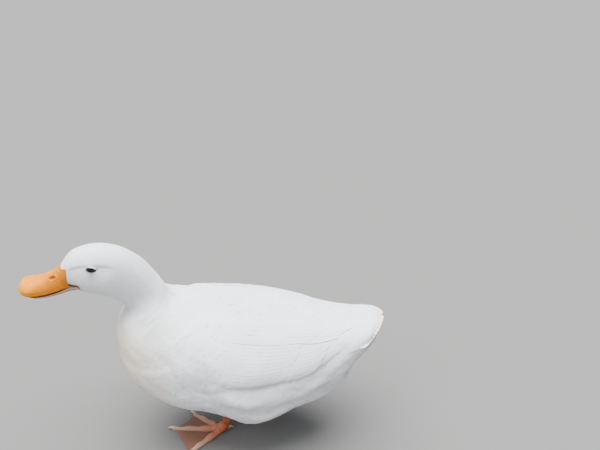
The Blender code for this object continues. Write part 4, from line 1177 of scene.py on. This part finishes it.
def ring_rows(count, bunch=1.25):
    """Shares of a length, closer together towards its end."""
    return (1 - (1 - np.linspace(0, 1, count)) ** bunch)[:, None]


def bill_section(t):
    """The upper bill's top, edge, half width and arch at a share of its length."""
    return (curve(table, t) for table in (CULMEN, TOMIUM, BILL_HALF_WIDTH, BILL_ARCH))


def make_upper_bill(material):
    """The broad upper bill, with its nail, nostrils and the fine comb along its edge."""
    t = ring_rows(150)
    a = np.linspace(0, math.pi, 61)[None, :]
    top, low, wide, arch = bill_section(t)
    y = wide * np.cos(a)
    z = low + (top - low) * np.maximum(np.sin(a), 0.0) ** arch
    flat = bill_place(t, y, z, BILL_TIP_X)
    outward = unit(np.cross(np.gradient(flat, axis=0), np.gradient(flat, axis=1)))
    outward = outward * np.sign(dot(outward, flat - BILL_CENTRE))[..., None]
    nostril_top, nostril_low = curve(CULMEN, NOSTRIL_T), curve(TOMIUM, NOSTRIL_T)
    nostril_z = nostril_low + (nostril_top - nostril_low) * NOSTRIL_HEIGHT
    root = bill_root_x(nostril_z)
    nostril_x = root + (BILL_TIP_X - root) * NOSTRIL_T
    dx, dz = flat[..., 0] - nostril_x, flat[..., 2] - nostril_z
    along = (dx * math.cos(NOSTRIL_TILT) - dz * math.sin(NOSTRIL_TILT)) / NOSTRIL_REACH[0]
    high = (dx * math.sin(NOSTRIL_TILT) + dz * math.cos(NOSTRIL_TILT)) / NOSTRIL_REACH[1]
    away = np.sqrt(along**2 + high**2)
    rim = np.exp(-(((away - NOSTRIL_RIM_PLACE[0]) / NOSTRIL_RIM_PLACE[1]) ** 2))
    offset = -NOSTRIL_DEPTH * np.exp(-(away**4)) + NOSTRIL_RIM * rim
    nail = smooth_step(NAIL_START, NAIL_START + NAIL_BLEND, t)
    nail = nail * (1 - smooth_step(NAIL_HALF_WIDTH * 0.8, NAIL_HALF_WIDTH, np.abs(y)))
    groove = np.exp(-(((z - low - GROOVE_HEIGHT) / GROOVE_BREADTH) ** 2)) * (t > 0.1)
    offset = offset + NAIL_RISE * nail - GROOVE_DEPTH * groove
    comb = 1 - smooth_step(*COMB_BAND, z - low)
    comb = comb * smooth_step(*COMB_START, t) * (1 - smooth_step(*COMB_END, t))
    offset = offset + COMB_DEPTH * comb * np.sin(flat[..., 0] * 2 * math.pi / COMB_PITCH)
    outer = flat + outward * offset[..., None]
    inner_a = np.linspace(math.pi, 0, 15)[None, :]
    vault = np.minimum(PALATE_DEPTH, (top - low) * 0.35) * (1 - smooth_step(*VAULT_END, t))
    vault = vault - NAIL_HOOK * smooth_step(0.94, 1.0, t)
    inner_z = low - LIP * 0.6 + vault * np.sin(inner_a)
    inner = bill_place(t, (wide - LIP) * np.cos(inner_a), inner_z, BILL_TIP_X)
    grid, faces = closed_grid(turned(np.concatenate((outer, inner), axis=1), 1.0))
    # Painted shade: dark inside the nostrils, along the comb at the bill's lower edge, and on the mouth's
    # inner face.
    dark = np.maximum(NOSTRIL_SHADE * np.exp(-(away**4)), COMB_SHADE * comb)
    dark = np.concatenate((dark, np.full(inner.shape[:2], MOUTH_SHADE)), axis=1)
    marks = np.vstack((marked(dark, 0.0), np.zeros((2, 2))))
    bill = make_object("upper_bill", grid, faces, material, maps={"marks": marks})
    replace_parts(bill, "bill_upper")


def make_lower_bill(material):
    """The lower bill, with its trough, keel and the hollow of the chin."""
    t = ring_rows(110)
    closing = 1 - TIP_CLOSING * smooth_step(CLOSING_START, 1.0, t)
    opening = GAP + LIP + GAPE_OPENING * np.minimum(t / OPENING_END, 1.0) * closing
    top = curve(TOMIUM, t) - opening
    wide = np.maximum(curve(BILL_HALF_WIDTH, t) - LOWER_BILL_INSET, LOWER_BILL_LEAST)
    over_a = np.linspace(0, math.pi, 21)[None, :]
    under_a = np.linspace(math.pi, 2 * math.pi, 42)[None, 1:-1]
    over_z = top - TROUGH_DEPTH * np.sin(over_a)
    over = bill_place(t, wide * np.cos(over_a), over_z, LOWER_BILL_TIP_X)
    keel = (curve(LOWER_BILL_DEPTH, t) - LOWER_BILL_RIM) * np.abs(np.sin(under_a)) ** 0.8
    chin = CHIN_DEPTH * np.exp(-((np.cos(under_a) / 0.35) ** 2)) * np.sin(math.pi * np.clip(t / 0.75, 0, 1))
    under_z = top - LOWER_BILL_RIM - keel + chin
    under = bill_place(t, wide * np.cos(under_a), under_z, LOWER_BILL_TIP_X)
    grid, faces = closed_grid(turned(np.concatenate((over, under), axis=1), 1.0))
    # Painted shade: the trough inside the mouth and the underside of the keel are darkened.
    keel_shade = KEEL_SHADE * smooth_step(*KEEL_SHADE_BAND, np.abs(np.sin(under_a))) + 0 * t
    marks = marked(np.concatenate((np.full(over.shape[:2], TROUGH_SHADE), keel_shade), axis=1), 1.0)
    marks = np.vstack((marks, marks[-1:], marks[-1:]))
    bill = make_object("lower_bill", grid, faces, material, maps={"marks": marks})
    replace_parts(bill, "bill_lower")


def upper_section(t, b):
    """The upper bill's outer surface at a share of its length and an angle over its section."""
    top, low, wide, arch = bill_section(t)
    z = low + (top - low) * np.maximum(np.sin(b), 0.0) ** arch
    root = bill_root_x(z) + GAP
    return np.stack(np.broadcast_arrays(root + (BILL_TIP_X - root) * t, wide * np.cos(b), z), axis=-1)


def make_bill_base(material):
    """The flared base of the bill, whose lobes run back on both sides of the forehead."""
    first_angle, last_angle = COLLAR_ANGLES
    a = np.radians(np.linspace(first_angle, last_angle, 97))[None, :]
    b = (a - math.radians(first_angle)) * (180 / (last_angle - first_angle))
    w = np.linspace(0, 1, 14)[:, None]
    ring, ring_normal = coat(np.full_like(a, LAST_STATION), a, np.full_like(a, COLLAR_LIFT))
    front = turned(upper_section(COLLAR_START * (1 - w), b), 1.0)
    rear = turned(upper_section(0 * w, b), 1.0)
    sink = -COLLAR_SINK * (1 - w) ** 3
    first = front + (ring - rear) * (w**COLLAR_FLARE)[..., None] + ring_normal * sink[..., None]
    w = np.linspace(0, 1, 12)[1:, None]
    s = LAST_STATION + (curve(BILL_BORDER, from_side(a)) - LAST_STATION) * w
    lift = COLLAR_LIFT + COLLAR_LIFT * np.sin(math.pi * w) - BORDER_SINK * smooth_step(0.8, 1.0, w)
    second, _ = coat(s, a + 0 * s, lift + 0 * s)
    points = np.concatenate((first, second), axis=0)
    # Painted shade on the last rows, where the bill's skin runs under the feathers.
    at_border = np.arange(len(points)) > len(points) - 3
    marks = marked(BORDER_SHADE * at_border[:, None] + 0 * a, 0.0)
    quads = grid_faces(*points.shape[:2])
    base = make_object("bill_base", points, quads, material, maps={"marks": marks})


def make_gape(name, side, material):
    """The fleshy corner of the mouth under the cheek, with painted shade along the mouth's slit over it, at
    its lower edge and at its back end under the cheek.
    """
    u = np.linspace(0, 1, 30)[:, None]
    v = np.linspace(0, 1, 19)[None, :]
    s = LAST_STATION + GAPE_AHEAD - (GAPE_LENGTH + GAPE_AHEAD) * u
    low, high = curve(GAPE_LOW, u), curve(GAPE_HIGH, u)
    angle = mirrored(np.radians(low + (high - low) * v), side)
    line = np.exp(-(((v - GAPE_LINE[0]) / GAPE_LINE[1]) ** 4))
    lift = GAPE_SWELL * np.sqrt(np.minimum(v, 1 - v) * 2) - GAPE_CUT * line * (1 - u) - GAPE_SINK
    points, _ = coat(s + 0 * v, angle, lift * (1 - 0.6 * u))
    # Painted shade: along the slit of the mouth, at the lower edge and towards the back end under the cheek.
    dark = np.maximum(line, 0.9 * np.exp(-((v / GAPE_LOW_SHADE) ** 2)))
    dark = np.maximum(dark, np.exp(-(((1 - u) / GAPE_END_SHADE) ** 2)))
    quads = grid_faces(*points.shape[:2])[:, ::-side]
    corner = make_object(name, points, quads, material, maps={"marks": marked(dark, 1.0)})


def make_eye(name, side, eye_look, lid_look):
    """The eyeball with its clear bulge, and the lids that leave an almond opening."""
    centre, out, ahead, down = eye_place(side)
    tilt = np.linspace(0.0, math.radians(120), 40)[:, None]
    around = np.linspace(0, 2 * math.pi, 48, endpoint=False)[None, :]
    radius = EYE_RADIUS - CORNEA_RISE / 2 + CORNEA_RISE * np.exp(-((tilt / CORNEA_ANGLE) ** 4))
    tilt = np.maximum(tilt, 0.01)
    plane = np.cos(around)[..., None] * ahead + np.sin(around)[..., None] * down
    points = centre + (radius * np.cos(tilt))[..., None] * out + (radius * np.sin(tilt))[..., None] * plane
    grid, faces = closed_grid(points)
    ring = np.concatenate((np.repeat(tilt.ravel(), around.size), (0.0, 2.1)))
    maps = {"ring": marked(ring / 3.0, 0.0)}
    ball = make_object(name, grid, facing(faces, side > 0), eye_look, maps=maps)
    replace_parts(ball, name)
    theta = np.linspace(0, 2 * math.pi, 72, endpoint=False)
    sine = np.sin(theta)
    shape = np.sign(sine) * np.abs(sine) ** LID_POINTED * np.where(sine > 0, *LID_HALVES) * LID_OPENING[1]
    across = np.cos(theta) * LID_OPENING[0]
    slanted = shape + LID_SLANT * across
    rows, tones = [], []
    for share, rise in LID_RIM:
        f = across * (1 - share) + np.cos(theta) * LID_REACH[0] * share
        d = slanted * (1 - share) + sine * LID_REACH[1] * share
        deep = np.sqrt(np.maximum((EYE_RADIUS + rise) ** 2 - f**2 - d**2, LEAST_DEEP**2))
        rows.append(centre + f[:, None] * ahead + d[:, None] * down + deep[:, None] * out)
        tones.append(np.full(len(theta), share))
    maps = {"marks": marked(np.array(tones), 0.0)}
    quads = grid_faces(len(rows), len(theta), closed=True)[:, ::side]
    lids = make_object(f"lids_{name[4:]}", np.array(rows), quads, lid_look, maps=maps)


# Legs and feet


def smooth_path(points, count):
    """A smooth path of count points through the given ones, in one or more columns."""
    points = np.asarray(points, float)
    knots = np.linspace(0, 1, len(points))
    t = np.linspace(0, 1, count)
    columns = [curve(np.stack((knots, column), axis=-1), t) for column in points.T]
    return np.stack(columns, axis=-1)


def tube_rings(path, radii, sides, reference, relief=None):
    """Rings of points along a path, with a relief height for each point if given."""
    ahead = unit(np.gradient(path, axis=0))
    beside = unit(np.cross(np.broadcast_to(reference, path.shape), ahead))
    over = np.cross(ahead, beside)
    around = np.linspace(0, 2 * math.pi, sides, endpoint=False)[None, :]
    reach = radii[:, None] + (relief(path, around) if relief else 0.0)
    sideways = beside[:, None] * (reach * np.cos(around))[..., None]
    return path[:, None] + sideways + over[:, None] * (reach * np.sin(around))[..., None]


def scutes(path, around):
    """Overlapping plates across the front or top of a toe or shank."""
    run = run_along(path)[:, None]
    phase = (run / SCUTE_PITCH) % 1.0
    top = smooth_step(-0.1, 0.5, np.sin(around))
    grains = 0.5 * SCUTE_RISE * np.sin(run * GRAIN_WAVE + 7 * np.cos(3 * around))
    return SCUTE_RISE * (phase**0.7 - 0.5) * top + grains * (1 - top)


def foot_place(foot):
    """A function that carries a foot's own points to its place on the floor."""
    side, (x, y), turn = foot
    angle = math.radians(turn) * side

    def place(points):
        points = np.asarray(points, float) * (1, side, 1)
        px = points[..., 0] * math.cos(angle) - points[..., 1] * math.sin(angle) + x
        py = points[..., 0] * math.sin(angle) + points[..., 1] * math.cos(angle) + y * side
        return np.stack((px, py, points[..., 2]), axis=-1)

    return place


def toe_path(toe, count=70):
    """The line through a toe and its radius, thicker at the knuckles."""
    turn, length, root_back, root_up = toe
    angle = math.radians(turn)
    t = np.linspace(0, 1, count)
    knuckles = 1 + KNUCKLE_RISE * np.cos(2 * math.pi * t * KNUCKLES)
    radius = (TOE_RADIUS_START + (TOE_RADIUS_END - TOE_RADIUS_START) * t) * knuckles
    out = length * t - root_back * (1 - t) ** 4
    height = np.maximum(radius - SOLE_CUT, JOINT_HEIGHT * (1 - t * 2.2)) + root_up * (1 - t) ** 4
    return np.stack((out * math.cos(angle), out * math.sin(angle), height), axis=-1), radius


def web_sheet(first, second):
    """The web between two toes: a thin sheet with a scalloped edge and fine folds."""
    u = np.linspace(0, 1, 33)[None, :]
    t = np.linspace(0.06, 1, 44)[:, None]
    (a0, r0), (a1, r1) = ((math.radians(toe[0]), toe[1] * WEB_REACH) for toe in (first, second))
    reach = (r0 + (r1 - r0) * u) * (1 - WEB_SCALLOP * np.sin(math.pi * u)) * t
    angle = a0 + (a1 - a0) * u
    ripple = np.sin(reach * WEB_WAVES[0] + 3 * np.sin(7 * u))
    folds = WEB_FOLDS[0] * ripple + WEB_FOLDS[1] * np.sin(u * WEB_WAVES[1])
    height = WEB_HEIGHT + WEB_RISE * (1 - t) + folds * np.sin(math.pi * u)
    sheet = np.stack((reach * np.cos(angle), reach * np.sin(angle), height + 0 * t), axis=-1)
    lift = np.zeros_like(sheet)
    lift[..., 2] = WEB_HALF * (1.0 - 0.5 * t**6)
    return np.concatenate((sheet + lift, (sheet - lift)[:, ::-1]), axis=1)


def flat_sole(points):
    """Nothing of a foot reaches past the floor."""
    points[..., 2] = np.maximum(points[..., 2], 0.0)
    return points


def make_foot(label, foot, foot_look, claw_look):
    """One foot with its shank, webs and claws."""
    place = foot_place(foot)
    side = foot[0]
    forms = []
    for name, toe in zip(TOE_NAMES, TOES):
        path, radius = toe_path(toe)
        rings = flat_sole(place(tube_rings(path, radius, TOE_SIDES, UP, scutes)))
        paleness = np.repeat(curve(TOE_PALENESS, np.linspace(0, 1, len(path))), TOE_SIDES)
        paleness = np.concatenate((paleness, paleness[:1], paleness[-1:]))
        forms.append((closed_grid(rings), marked(0.0, paleness)))
        make_claw(f"claw_{label}_{name}", path, radius[-1], CLAW_LENGTH, place, side, claw_look)
    hind = smooth_path(HIND_TOE, 26)
    rings = place(tube_rings(hind, np.linspace(*HIND_TOE_RADII, 26), TOE_SIDES, UP, scutes))
    forms.append((closed_grid(rings), (0.0, HIND_TOE_PALENESS)))
    make_claw(f"claw_{label}_hind", hind, HIND_TOE_RADII[-1], HIND_CLAW_LENGTH, place, side, claw_look)
    for first, second in zip(TOES, TOES[1:]):
        forms.append((closed_grid(flat_sole(place(web_sheet(first, second)))), (1.0, 0.0)))
    leg = list(ANKLE)
    top = np.array((-SHANK_BACK, SHANK_OUT, SHANK_TOP))
    for share in (0.2, 0.4, 0.6, 0.8, 1.0):
        spot = SHANK_FOOT + (top - SHANK_FOOT) * share
        spot[0] += SHANK_BOW * math.sin(math.pi * share)
        leg.append(tuple(spot))
    radii = smooth_path(np.array(SHANK_RADII)[:, None], 120)[:, 0]
    rings = tube_rings(smooth_path(leg, 120), radii, 32, SHANK_FRONT, scutes)
    forms.append((closed_grid(flat_sole(place(rings))), (0.0, 0.0)))
    grid, faces, marks = joined(forms)
    maps = {"marks": marks}
    made = make_object(f"foot_and_shank_{label}", grid, facing(faces, side < 0), foot_look, maps=maps)
    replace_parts(made, f"foot_{label}", f"leg_{label}")


def make_claw(name, path, radius, length, place, side, material):
    """A curved claw at the end of a toe's path."""
    ahead = unit(path[-1] - path[-2])
    lift = unit(UP - ahead * ahead[2])
    start = path[-1] - ahead * CLAW_ROOT + lift * CLAW_LIFT
    t = np.linspace(0, 1, 22)
    radii = radius * (0.80 * (1 - t) + 0.08)
    spots = start + ahead * (length + CLAW_ROOT) * t[:, None]
    sunk = spots[:, 2] - CLAW_SINK * np.maximum(t - 0.2, 0) ** 2 + CLAW_ARCH * np.sin(math.pi * t)
    spots[:, 2] = np.where(t > 0.3, np.maximum(sunk, radii + CLAW_CLEAR), sunk)
    grid, faces = closed_grid(place(tube_rings(spots, radii, 18, UP)))
    claw = make_object(f"{name}_horn", grid, facing(faces, side < 0), material)
    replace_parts(claw, name)


# Stage and camera


def make_stage():
    """A plain pale floor, light from a broad lamp overhead and a little from all round."""
    mesh = bpy.data.meshes.new("floor")
    half = FLOOR_HALF
    corners = [(-half, -half, 0), (half, -half, 0), (half, half, 0), (-half, half, 0)]
    mesh.from_pydata(corners, [], [(0, 1, 2, 3)])
    mesh.materials.append(principled("floor", FLOOR_COLOUR, 0.9)[0])
    floor = bpy.data.objects.new("floor", mesh)
    bpy.context.scene.collection.objects.link(floor)
    world = bpy.data.worlds.new("studio")
    bpy.context.scene.world = world
    world.use_nodes = True
    background = world.node_tree.nodes["Background"]
    background.inputs["Color"].default_value = (*WORLD_COLOUR, 1)
    background.inputs["Strength"].default_value = WORLD_STRENGTH
    for name, place, strength, breadth in LAMPS:
        light = bpy.data.lights.new(name, "SUN")
        light.energy = strength
        light.angle = math.radians(breadth)
        light.color = LAMP_COLOUR
        lamp = bpy.data.objects.new(name, light)
        lamp.location = place
        lamp.rotation_euler = (LAMP_AIM - Vector(place)).to_track_quat("-Z", "Y").to_euler()
        bpy.context.scene.collection.objects.link(lamp)


def make_camera():
    """A camera at the photograph's viewing angle."""
    data = bpy.data.cameras.new("camera")
    data.lens = CAMERA_LENS
    data.sensor_width = 36.0
    data.clip_start = 0.01
    camera = bpy.data.objects.new("camera", data)
    camera.location = CAMERA_PLACE + Vector(OFFSET)
    camera.rotation_euler = (CAMERA_TILT, 0, math.pi)
    bpy.context.scene.collection.objects.link(camera)
    bpy.context.scene.camera = camera


plumage = plumage_material()
skin = make_skin(down_material())
for piece in coat_pieces(plumage):
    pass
make_wings(plumage)
make_tail(plumage)
bill_look = bill_material()
make_upper_bill(bill_look)
make_bill_base(bill_look)
make_lower_bill(bill_look)
eye_look = eye_material()
lid_look = lid_material()
foot_look = foot_material()
claw_look = claw_material()
for name, side in (("left", 1), ("right", -1)):
    make_gape(f"gape_{name}", side, bill_look)
    make_eye(f"eye_{name}", side, eye_look, lid_look)
    make_foot(name, FEET[name], foot_look, claw_look)
make_stage()
make_camera()
